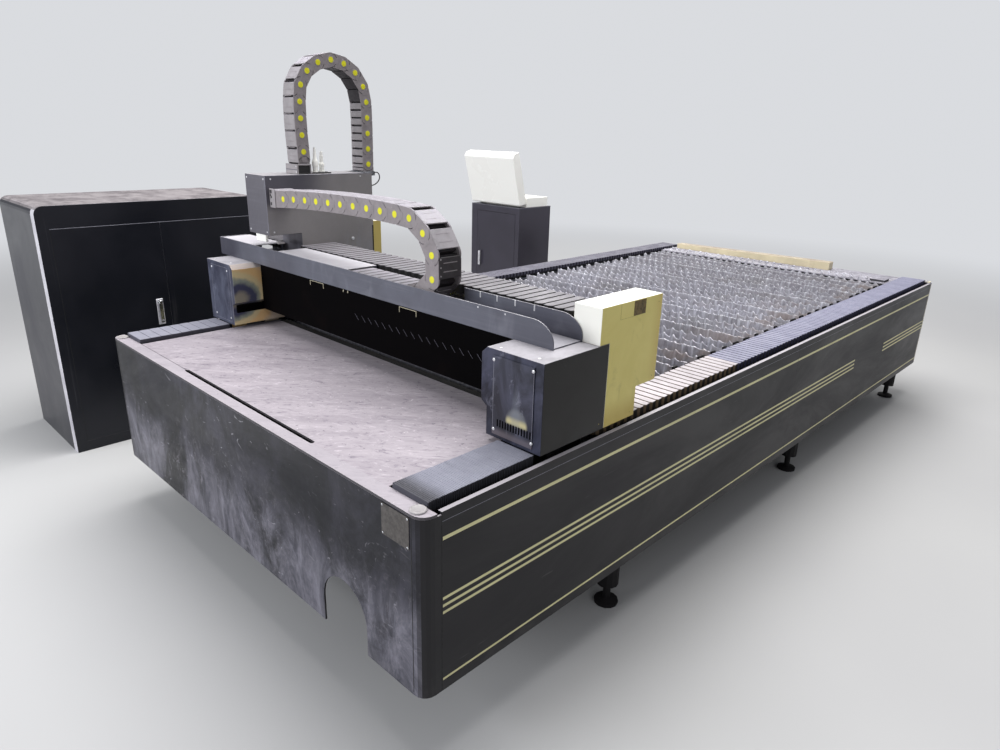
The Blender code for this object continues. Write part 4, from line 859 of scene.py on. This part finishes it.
def beam_chain():
    """The chain that rolls out along the gantry: upper run, bend and lower run."""
    across, half = (0.628, 0.743), 0.0395
    pins = [(1.818, 1.5105), (1.726, 1.516), (1.636, 1.522), (1.542, 1.526), (1.452, 1.529),
            (1.359, 1.532), (1.269, 1.533), (1.178, 1.534), (1.086, 1.534), (0.997, 1.532),
            (0.906, 1.529), (0.819, 1.523)]
    upper = Shape()
    for i, (a, b) in enumerate(zip(pins, pins[1:])):
        chain_link(upper, a, b, "YZ", across, half, 1, bars=2, disc=i > 0)
    upper.boxes(((0.631, 0.74), (1.818, CARRIAGE_NEAR), (1.474, 1.552), 1, 0.003),
                ((0.6288, 0.632), (1.8, CARRIAGE_NEAR), (1.47, 1.556), 1, 0.001))
    for y, z in (((1.826, 1.845), (1.534, 1.55)), ((1.834, 1.845), (1.52, 1.532)),
                 ((1.826, 1.838), (1.512, 1.524)), ((1.83, 1.842), (1.48, 1.494))):
        upper.box((0.6282, 0.63), y, z, 2, 0.001)
    piece = make("beam_chain_upper", upper, CHAIN, "carriage", ["chain_upper"])
    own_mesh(piece)
    turn = [(0.819, 1.523), (0.742, 1.476), (0.692, 1.402), (0.691, 1.313)]
    turn += arc((0.84, 1.38), 0.15, 237, 270, 1)
    bend = Shape()
    for i, (a, b) in enumerate(zip(turn, turn[1:])):
        # Painted shade: the links that hang down in the bend get dark lids.
        chain_link(bend, a, b, "YZ", across, half, 1, shade_painted_lid=i > 1, dark_bars=True)
    make("beam_chain_bend", bend, CHAIN, "chain_loop", ["chain_bend"])
    lower = Shape()
    low = [(0.84 + 0.0933 * i, 1.23) for i in range(7)]
    for a, b in zip(low, low[1:]):
        chain_link(lower, a, b, "YZ", across, half - 0.0005, 1, bars=2)
    piece = make("beam_chain_lower", lower, CHAIN, None, ["chain_lower"])
    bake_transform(piece)


def head_chain():
    """The upright chain from the carriage over to the head."""
    pins = [(0.838, 1.662), (0.836, 1.715), (0.832, 1.791), (0.831, 1.866), (0.832, 1.94),
            (0.842, 2.014), (0.88, 2.076), (0.941, 2.117), (1.013, 2.1335), (1.085, 2.121),
            (1.148, 2.084), (1.192, 2.024), (1.208, 1.952), (1.21, 1.878), (1.21, 1.803),
            (1.209, 1.728), (1.208, 1.653), (1.208, 1.6185)]
    shape = Shape()
    last = len(pins) - 2
    shift = [0.02, 0.27, 0.27, 0.27, 0.27, 0.12, 0.06] + [0] * last
    for i, (a, b) in enumerate(zip(pins, pins[1:])):
        chain_link(shape, a, b, "XZ", (1.87, 1.97), 0.0335, -1, bars=2 if i > 11 else 1,
                   dark_bars=7 < i < 12, disc=0 < i <= last, lid=(shift[i], shift[i + 1]))
    piece = make("head_chain", shape, CHAIN, None, ["z_chain"])
    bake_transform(piece)


# Trim and fittings


def stripes():
    """Pale stripes along both long sides, with the dark seams of their panels and painted highlight
    lines along the fold and the far corner.
    """
    first = (0.074, 2.4635)
    split = (first, (2.4665, 3.38), (3.91, 4.815))
    lines = [(0.775, 0.0115, (first, (2.4665, 4.79))), (0.577, 0.0095, split),
             (0.5525, 0.0095, split), (0.529, 0.0095, split),
             (0.292, 0.008, (first, (2.4665, 4.8)))]
    for side, y0, y1 in (("near", -0.0003, 0.0008), ("far", BED_W - 0.0008, BED_W + 0.0003)):
        shape = Shape()
        for z, wide, spans in lines:
            for span in spans:
                shape.box(span, (y0, y1), (z - wide / 2, z + wide / 2), 0, 0.0002)
        make("stripes_" + side, shape, [STRIPE], "bed")
        y = (y0 + 0.0001, y1 - 0.0001)
        # The light lines along the fold and the far corner are painted highlights.
        trim("seams_" + side, [SEAM, EDGE_HIGHLIGHT_AND_WEAR], "bed", "black_paint",
             ((0.069, 0.0722), y, (0.255, 0.85)), ((0.072, 4.79), y, (0.829, 0.8302), 1),
             ((4.7905, 4.7935), y, (0.262, 0.842), 1))


def end_face():
    """Corner seams, the bare name plate with its rivets, the caps on the corners, a black lining
    round the long slot that stands in for the shade inside it, and the pale trim at the far end."""
    trim("end_seams", [SEAM], "bed", "black_paint",
         *(((-0.0004, 0.001), (y, y + 0.0028), (0.262, 0.852)) for y in (0.045, BED_W - 0.048)))
    plate = Shape()
    y0, y1, z0, z1, inset = 0.0535, 0.1775, 0.7455, 0.847, 0.006
    plate.box((-0.0024, -0.0005), (y0, y1), (z0, z1), 0, 0.0006)
    for y, z in product((y0 + inset, y1 - inset), (z0 + inset, z1 - inset)):
        plate.screw((-0.0022, y, z), AHEAD, 0.0036, 1)
    make("name_plate", plate, [NICKEL, CHROME], "bed")
    caps = Shape()
    profile = [(0.0, 0.0252), (0.0045, 0.0252), (0.0066, 0.0225), (0.007, 0.02), (0.0066, 0.019)]
    for x, y in product((0.029, BED_L - 0.029), (0.05, BED_W - 0.05)):
        caps.turned((x, y, BED_TOP), UP, profile, 32)
    make("corner_caps", caps, [CAP], "bed")
    # Painted shade: a black lining round and under the long slot keeps the slot dark along its
    # whole length.
    shade_lining = Shape()
    for x, z in (((0.046, 0.05), (0.8, 0.8515)), ((0.062, 0.066), (0.8, 0.8515)),
                 ((0.046, 0.066), (0.796, 0.8005))):
        shade_lining.box(x, (0.618, 1.596), z, 0, 0.0005)
    for y in (0.616, 1.594):
        shade_lining.box((0.046, 0.066), (y, y + 0.004), (0.796, 0.8515), 0, 0.0005)
    make("slot_shade_lining", shade_lining, [BLACK_AND_PAINTED_SHADE], "bed")
    pale = Shape()
    for y in ((0.012, 0.105), (BED_W - 0.105, BED_W - 0.012)):
        pale.box((4.802, 4.843), y, (0.8602, 0.8645), 0, 0.0012)
    for y in (-0.0003, BED_W - 0.001):
        pale.box((4.7945, 4.801), (y, y + 0.0013), (0.262, 0.852), 0, 0.0004)
    make("far_corner_trim", pale, [IVORY], "bed")


def frame_lines(shape, x, y, z, wide, mat=0):
    """Four thin strips round a sheet that faces the discharge end: a painted highlight of its lit
    edge, or its dark seam.
    """
    shape.boxes((x, y, (z[1] - wide, z[1]), mat), (x, y, (z[0], z[0] + wide), mat),
                (x, (y[0], y[0] + wide), z, mat), (x, (y[1] - wide, y[1]), z, mat))


def gantry_fittings():
    """Screws, clips, and lines of painted highlight and edge wear on the end boxes, the shields and
    the cream cover.
    """
    shape = Shape()
    for y, z in ((0.222, 1.151), (0.054, 1.153), (0.218, 0.913), (0.052, 0.914)):
        shape.screw((0.4862, y, z), AHEAD, 0.0056)
    for y, z in ((2.237, 1.151), (2.073, 1.151), (2.232, 0.913), (2.075, 0.914)):
        shape.screw((0.4898, y, z), AHEAD, 0.0052)
    for x, y in ((0.512, 0.217), (0.521, 0.062), (0.512, 2.24), (0.521, 2.086)):
        shape.screw((x, y, 1.1853), UP, 0.0055)
    # Light lines on the vented panel's edges: edge wear, and painted highlight.
    for y in (0.0505, 0.2225):
        shape.box((0.4862, 0.488), (y, y + 0.0012), (0.915, 1.148), 1, 0.0003)
    # Painted highlight round the far box's panel and along its edge.
    frame_lines(shape, (0.4896, 0.4905), (2.07, 2.246), (0.895, 1.165), 0.001, 1)
    shape.box((0.489, 0.4905), (2.043, 2.045), (0.885, 1.183), 1, 0.0004)
    make("gantry_screws", shape, [SCREW, EDGE_HIGHLIGHT_AND_WEAR], "gantry")
    vents = Shape()
    for i in range(13):
        y = 0.068 + 0.0114 * i
        vents.box((0.4867, 0.4895), (y - 0.0001, y + 0.0051), (0.9249, 0.9681))
        y = 0.0556 + 0.0119 * i
        vents.box((0.4858, 0.4875), (y, y + 0.0048), (0.9265, 0.9515), 1)
    make("vent_slots", vents, [VENT, BLACK_AND_PAINTED_SHADE], "gantry")
    clips = Shape()
    for y0, y1 in ((1.446, 1.555), (0.796, 0.902)):
        clips.box((0.6375, 0.6398), (y0, y1), (1.17, 1.1718), 0, 0.0004)
        for y in (y0, y1 - 0.002):
            clips.box((0.637, 0.6398), (y, y + 0.002), (1.149, 1.172), 0, 0.0006)
    for y in (1.254, 1.287):
        clips.box((0.637, 0.6398), (y, y + 0.004), (1.163, 1.173), 0, 0.001)
    for i in range(17):
        y = 1.21 - i * 0.047
        tie = [(y, 1.081), (y - 0.0015, 1.081), (y - 0.0255, 1.058), (y - 0.024, 1.058)]
        clips.prism("YZ", tie, (0.6385, 0.6398), 1)
    make("cable_clips", clips, [IVORY, EDGE], "gantry")
    trim("beam_foot", [BLACK_AND_PAINTED_SHADE], "gantry", "black_paint",
         ((0.506, 0.8), (2.031, 2.0429), (0.944, 0.982), 0, 0.0015))
    panel = Shape()
    panel.boxes(((0.945, 1.016), (0.0144, 0.0156), (1.257, 1.3085), 0, 0.0002),
                ((0.869, 0.87), (0.0147, 0.0156), (1.256, 1.3085), 1),
                ((0.869, 0.945), (0.0147, 0.0156), (1.256, 1.2568), 1))
    for x, z in ((0.79, 0.905), (0.975, 0.9), (1.098, 1.01), (1.098, 1.285)):
        panel.screw((x, 0.0152, z), TO_NEAR, 0.0022, 1)
    make("cover_marks", panel, [RUST_PATCH, CREAM_LINE], "gantry")


def cable_trough():
    """The chain's trough: a long front shield with a round near end, a short rear one with its
    tabs, the floor, and two cover plates on posts."""
    x0, x1, y0, y1 = 0.6135, 0.7635, 0.087, 2.38
    low, top, thick = 1.1855, 1.272, 0.004
    shape = Shape()
    bend = [(y0 + 0.092 - 0.092 * math.sin(a), top - 0.07 + 0.07 * math.cos(a))
            for a in (math.pi / 2 * k / 14 for k in range(15))]
    for end, x in ((y1, (x0, x0 + thick)), (0.655, (x1 - thick, x1))):
        shape.prism("YZ", [(y0, low)] + bend[::-1] + [(end, top), (end, low)], x)
    shape.boxes(((x0 + thick, x1 - thick), (y0 + 0.004, y1 - 0.004), (low, low + thick)),
                ((x0 + thick, x1 - thick), (y1 - 0.004, y1), (low, top), 0, 0.0005))
    for y in (0.568, 0.481, 0.391, 0.299):
        shape.box((x1 - thick - 0.0014, x1 - thick + 0.0005), (y - 0.003, y + 0.003),
                  (1.25, 1.2722), 2, 0.0005)
    for y in (0.43, 0.3):
        shape.screw((x0 + 0.0002, y, 1.262), AHEAD, 0.003, 2)
    for y in (1.225, 1.5, 1.772, 2.012, 2.332):
        shape.box((x1 - thick, x1), (y - 0.01, y + 0.01), (low + 0.003, 1.2727), 0, 0.0005)
    for y in ((1.214, 1.785), (1.996, 2.346)):
        shape.box((x0 + 0.0005, x1 - 0.0005), y, (1.2722, 1.2745), 1, 0.0006)
    make("cable_trough", shape, [SHIELD, COVER_PLATE, SCREW], "gantry",
         ["cable_tray", "tray_cover"])


def carriage_fittings():
    """Screws on the carriage box, painted highlights along its folds and a dark seam at its edge,
    the chain bracket with its fittings, white clips.
    """
    shape = Shape()
    shape.screw((1.08, 1.8499, 1.286), TO_NEAR, 0.0085)
    for x, z in ((0.64, 1.352), (0.64, 1.596), (1.14, 1.596), (1.14, 1.04)):
        shape.screw((x, 1.8499, z), TO_NEAR, 0.0042)
        shape.screw((x, 2.0401, z), TO_FAR, 0.0042)
    for y, z in product((1.866, 2.024), (1.353, 1.596)):
        shape.screw((0.6121, y, z), AHEAD, 0.0042)
    # Painted highlights along the box's folds; the dark strip is its seam by the head.
    shape.boxes(((0.6114, 0.6132), (1.85, 1.8522), (1.338, 1.611), 1, 0.0005),
                ((0.6125, 1.211), (1.8494, 1.8512), (1.6098, 1.6121), 1, 0.0005),
                ((1.204, 1.2114), (1.8493, 1.8512), (1.022, 1.345), 2, 0.0004))
    make("carriage_screws", shape, [SCREW, EDGE_HIGHLIGHT_AND_WEAR, SEAM], "carriage")
    clips = Shape()
    clips.boxes(((0.614, 0.63), (1.892, 1.984), (1.302, 1.3368), 0, 0.003),
                ((0.63, 0.67), (1.96, 1.984), (1.31, 1.3368), 0, 0.002))
    clips.loft([[(0.652, y, 1.312), (0.69, y, 1.302), (0.69, y, 1.294), (0.66, y, 1.294)]
                for y in (1.852, 1.868)], 1)
    make("carriage_clips", clips, [WHITE, CAP], "carriage")
    bracket = Shape()
    middle, y0, y1, z0, z1 = 0.832, 1.866, 1.974, 1.6125, 1.659
    half = 0.034 + 0.0038
    left, right = middle - half, middle + half
    bracket.box((left, right), (y0, y1), (z0, z0 + 0.005), 0, 0.001)
    for x in (left, right - 0.005):
        bracket.box((x, x + 0.005), (y0, y1), (z0, z1), 1, 0.001)
    bracket.boxes(((left + 0.006, right - 0.006), (y0 + 0.006, y1 - 0.006),
                   (z0 + 0.002, z1 - 0.001), 0, 0.002),
                  ((middle, middle + 0.158), (y0 + 0.014, y1 - 0.014), (z0, z0 + 0.006), 0, 0.001),
                  ((left, right), (y0, y0 + 0.004), (z1 - 0.006, z1), 4, 0.001))
    for x in (left, right - 0.006):
        bracket.box((x, x + 0.006), (y0 - 0.0004, y0 + 0.004), (z0, z1), 4, 0.001)
    for z in ((z0 + 0.001, z0 + 0.0185), (z0 + 0.0225, z1 - 0.001)):
        bracket.box((left - 0.0006, left + 0.001), (y0 + 0.003, y1 - 0.003), z, 4, 0.001)
    for x in (left + 0.012, middle - 0.008, right - 0.012, middle + 0.052, middle + 0.148):
        for y in (y0 + 0.021, y1 - 0.021):
            bracket.screw((x, y, z0 + (0.0055 if x > right else 0.005)), UP, 0.005, 3)
    for x, way in ((left, AHEAD), (right, (1, 0, 0))):
        for z in (z0 + 0.01, z1 - 0.01):
            bracket.screw((x, y0 + 0.012, z), way, 0.0035, 3)
    valve = [(0.0, 0.015), (0.006, 0.015), (0.007, 0.013), (0.03, 0.013), (0.031, 0.015),
             (0.05, 0.015), (0.06, 0.012), (0.064, 0.009), (0.1, 0.007), (0.119, 0.005)]
    port = [(0.0, 0.0138), (0.008, 0.0138), (0.009, 0.0118), (0.03, 0.0118), (0.031, 0.0136),
            (0.043, 0.0136), (0.047, 0.009), (0.08, 0.009), (0.082, 0.007), (0.098, 0.007),
            (0.0995, 0.0052)]
    bracket.turned((0.915, 1.905, z0 + 0.003), UP, valve, 20, 2)
    bracket.turned((0.958, 1.915, z0 + 0.003), UP, port, 20, 2)
    make("chain_foot", bracket, [RUBBER, CARRIAGE, WHITE, SCREW, CHAIN_BAR], "carriage",
         ["chain_bracket"])


def console_fittings():
    """The door's dark seam, painted highlights on the housing's lit edges and the silver bar
    handle.
    """
    shape = Shape()
    frame_lines(shape, (3.5994, 3.6003), (3.0475, 3.5265), (0.1005, 1.1295), 0.0012)
    make("console_door_edge", shape, [SEAM], "console_door")
    # Painted highlight: thin grey strips along the housing's lit edges.
    trim("console_edge_highlights", [EDGE], "bed", "black_paint",
         ((3.5996, 4.0204), (2.9996, 3.0006), (1.1805, 1.1885), 0, 0.0004),
         ((3.5994, 3.6006), (2.9996, 3.6004), (1.182, 1.1885), 0, 0.0004),
         ((3.5996, 3.6006), (2.9996, 3.0006), (0.002, 1.182), 0, 0.0003))
    grip = Shape()
    angles = [2 * math.pi * k / 16 + math.pi / 16 for k in range(16)]
    grip.loft([[(3.579 + r * math.cos(a), 3.475 + r * 1.25 * math.sin(a), z) for a in angles]
               for z, r in ((0.6276, 0.005), (0.63, 0.0078), (0.6345, 0.0092),
                            (0.7565, 0.0092), (0.761, 0.0078), (0.7634, 0.005))])
    make("console_grip", grip, [SILVER], "console_door")


def cabinet_fittings():
    """Lit seams round the doors, the latch plate and the chrome swing handle."""
    front = (3.0494, 3.0506)
    # The light horizontal lines on the doors' seams are painted highlights.
    trim("cabinet_seams", [EDGE_HIGHLIGHT_AND_WEAR, SEAM], "bed", "black_paint",
         ((0.0, 1.188), front, (1.2797, 1.2822), 0, 0.0003),
         ((-0.0012, 0.0006), front, (0.061, 1.281), 1, 0.0003),
         ((1.1294, 1.1308), front, (0.061, 1.2795), 1, 0.0003),
         ((-0.01, 1.14), (3.0495, 3.0506), (1.4018, 1.403), 0, 0.0003))
    trim("latch_plate", [SILVER], "left_door", "chrome",
         ((0.486, 0.524), (3.0455, 3.0502), (0.678, 0.834), 0, 0.0025))
    lever = Shape()
    x0, z0 = 0.505, 0.756
    lever.turned((x0, 3.0448, 0.815), TO_NEAR,
                 [(0, 0.0128), (0.012, 0.0128), (0.0145, 0.0115), (0.0166, 0.009)], 28)
    side = [(0.514, 0.8215), (0.496, 0.8215), (0.4945, 0.79), (0.4958, 0.696),
            (0.499, 0.691), (0.511, 0.691), (0.5142, 0.696), (0.5155, 0.79)]
    lever.prism("XZ", side, (3.0395, 3.03))
    lever.prism("XZ", [(x0 + (x - x0) * 0.8, z0 + (z - z0) * 0.93) for x, z in side],
                (3.0302, 3.029))
    lever.turned((x0, 3.029, 0.705), TO_NEAR, [(0, 0.0062), (0.0006, 0.0062), (0.0008, 0.004)],
                 18, 1)
    lever.box((0.504, 0.506), (3.0279, 3.0284), (0.701, 0.709), 2)
    make("latch_lever", lever, [CHROME, SILVER, SEAM], "latch", ["cabinet_handle"])


# Studio

SKY = 0xE2E4E8
SKY_SEEN, SKY_LIGHT = 0.92, 0.36


def pale_floor():
    """A wide pale floor that fades into the sky with its distance."""
    half = 60
    floor = bpy.data.meshes.new("floor")
    floor.from_pydata([(-half, -half, 0), (half, -half, 0), (half, half, 0), (-half, half, 0)], [],
                      [(0, 1, 2, 3)])
    m = Mat("floor_pale", 0.7, 0.0, 0.2)
    m.tone = m.blend(m.noise(0.35, 4, 0.5), 0.3, 0.7, 0xBABABC, 0xC0C0C1)
    m.done()
    far = m.math("POWER", m.math("ADD", m.away("X", -SHIFT.x), m.away("Y", -SHIFT.y)), 0.5)
    path = m.tree.nodes.new("ShaderNodeLightPath").outputs
    seen = m.most(m.most(path["Is Camera Ray"], path["Is Glossy Ray"]), path["Is Transmission Ray"])
    glow = m.node("Emission", {0: rgb(SKY), 1: SKY_SEEN})
    share = m.times(m.ramp(far, 3.6, 11.0), seen)
    both = m.node("MixShader", {0: share, 1: m.shader.outputs[0], 2: glow})
    m.tree.links.new(both, m.tree.nodes["Material Output"].inputs[0])
    floor.materials.append(m.mat)
    ground = bpy.data.objects.new("floor", floor)
    bpy.context.scene.collection.objects.link(ground)


def sky():
    """Pale sky, dimmer as a light than where it is seen."""
    world = bpy.data.worlds.new("world")
    world.use_nodes = True
    tree = world.node_tree
    path = tree.nodes.new("ShaderNodeLightPath").outputs
    seen = add_node(tree, "Math", {0: path["Is Camera Ray"], 1: path["Is Transmission Ray"]},
                    operation="MAXIMUM")
    level = add_node(tree, "MapRange", {"Value": seen, "To Min": SKY_LIGHT, "To Max": SKY_SEEN})
    back = tree.nodes["Background"]
    back.inputs[0].default_value = rgb(SKY)
    tree.links.new(level, back.inputs[1])
    bpy.context.scene.world = world


def lamp(name, place, target, size, energy, color):
    """A soft rectangular lamp that looks at its target."""
    data = bpy.data.lights.new(name, "AREA")
    data.shape, data.size, data.size_y = "RECTANGLE", size[0], size[1]
    data.energy, data.color = energy, color
    obj = bpy.data.objects.new(name, data)
    obj.location = Vector(place) + SHIFT
    way = Vector(target) - Vector(place)
    obj.rotation_euler = way.to_track_quat("-Z", "Y").to_euler()
    bpy.context.scene.collection.objects.link(obj)


def camera():
    """The photograph's viewpoint, as its edges gave it."""
    focal_px, width_px, sensor = 703.44, 1000, 36.0
    yaw, pitch, roll = (math.radians(a) for a in (43.8021, -19.309, 1.5381))
    level = math.cos(pitch)
    ahead = Vector((math.cos(yaw) * level, math.sin(yaw) * level, math.sin(pitch)))
    right = Vector((math.sin(yaw), -math.cos(yaw), 0))
    up = right.cross(ahead)
    x = right * math.cos(roll) + up * math.sin(roll)
    y = up * math.cos(roll) - right * math.sin(roll)
    eye = Vector((-1.0362, -1.2658, 1.8448)) + SHIFT
    data = bpy.data.cameras.new("camera")
    data.sensor_fit, data.sensor_width = "HORIZONTAL", sensor
    data.lens = focal_px / width_px * sensor
    data.clip_end = 300
    view = bpy.data.objects.new("camera", data)
    view.matrix_world = Matrix(((*x, 0), (*y, 0), (*-ahead, 0), (*eye, 1))).transposed()
    bpy.context.scene.collection.objects.link(view)
    bpy.context.scene.camera = view
    bpy.context.scene.view_settings.view_transform = "Standard"


finish_nodes()
grate()
way_covers()
beam_chain()
head_chain()
stripes()
end_face()
gantry_fittings()
cable_trough()
carriage_fittings()
console_fittings()
cabinet_fittings()
pale_floor()
sky()
lamp("overhead", (2.6, 1.6, 6.5), (2.4, 1.15, 0.8), (6.0, 4.4), 600, (1.0, 0.99, 0.97))
lamp("windows", (9.5, 5.5, 5.0), (2.4, 1.2, 0.9), (6.0, 3.0), 260, (1.0, 0.99, 0.96))
lamp("left", (-5.5, 3.0, 3.2), (1.0, 1.2, 1.0), (4.0, 3.0), 340, (0.96, 0.98, 1.0))
lamp("front", (-1.5, -6.5, 3.6), (2.0, 0.5, 0.7), (5.0, 3.0), 70, (0.98, 0.99, 1.0))
camera()
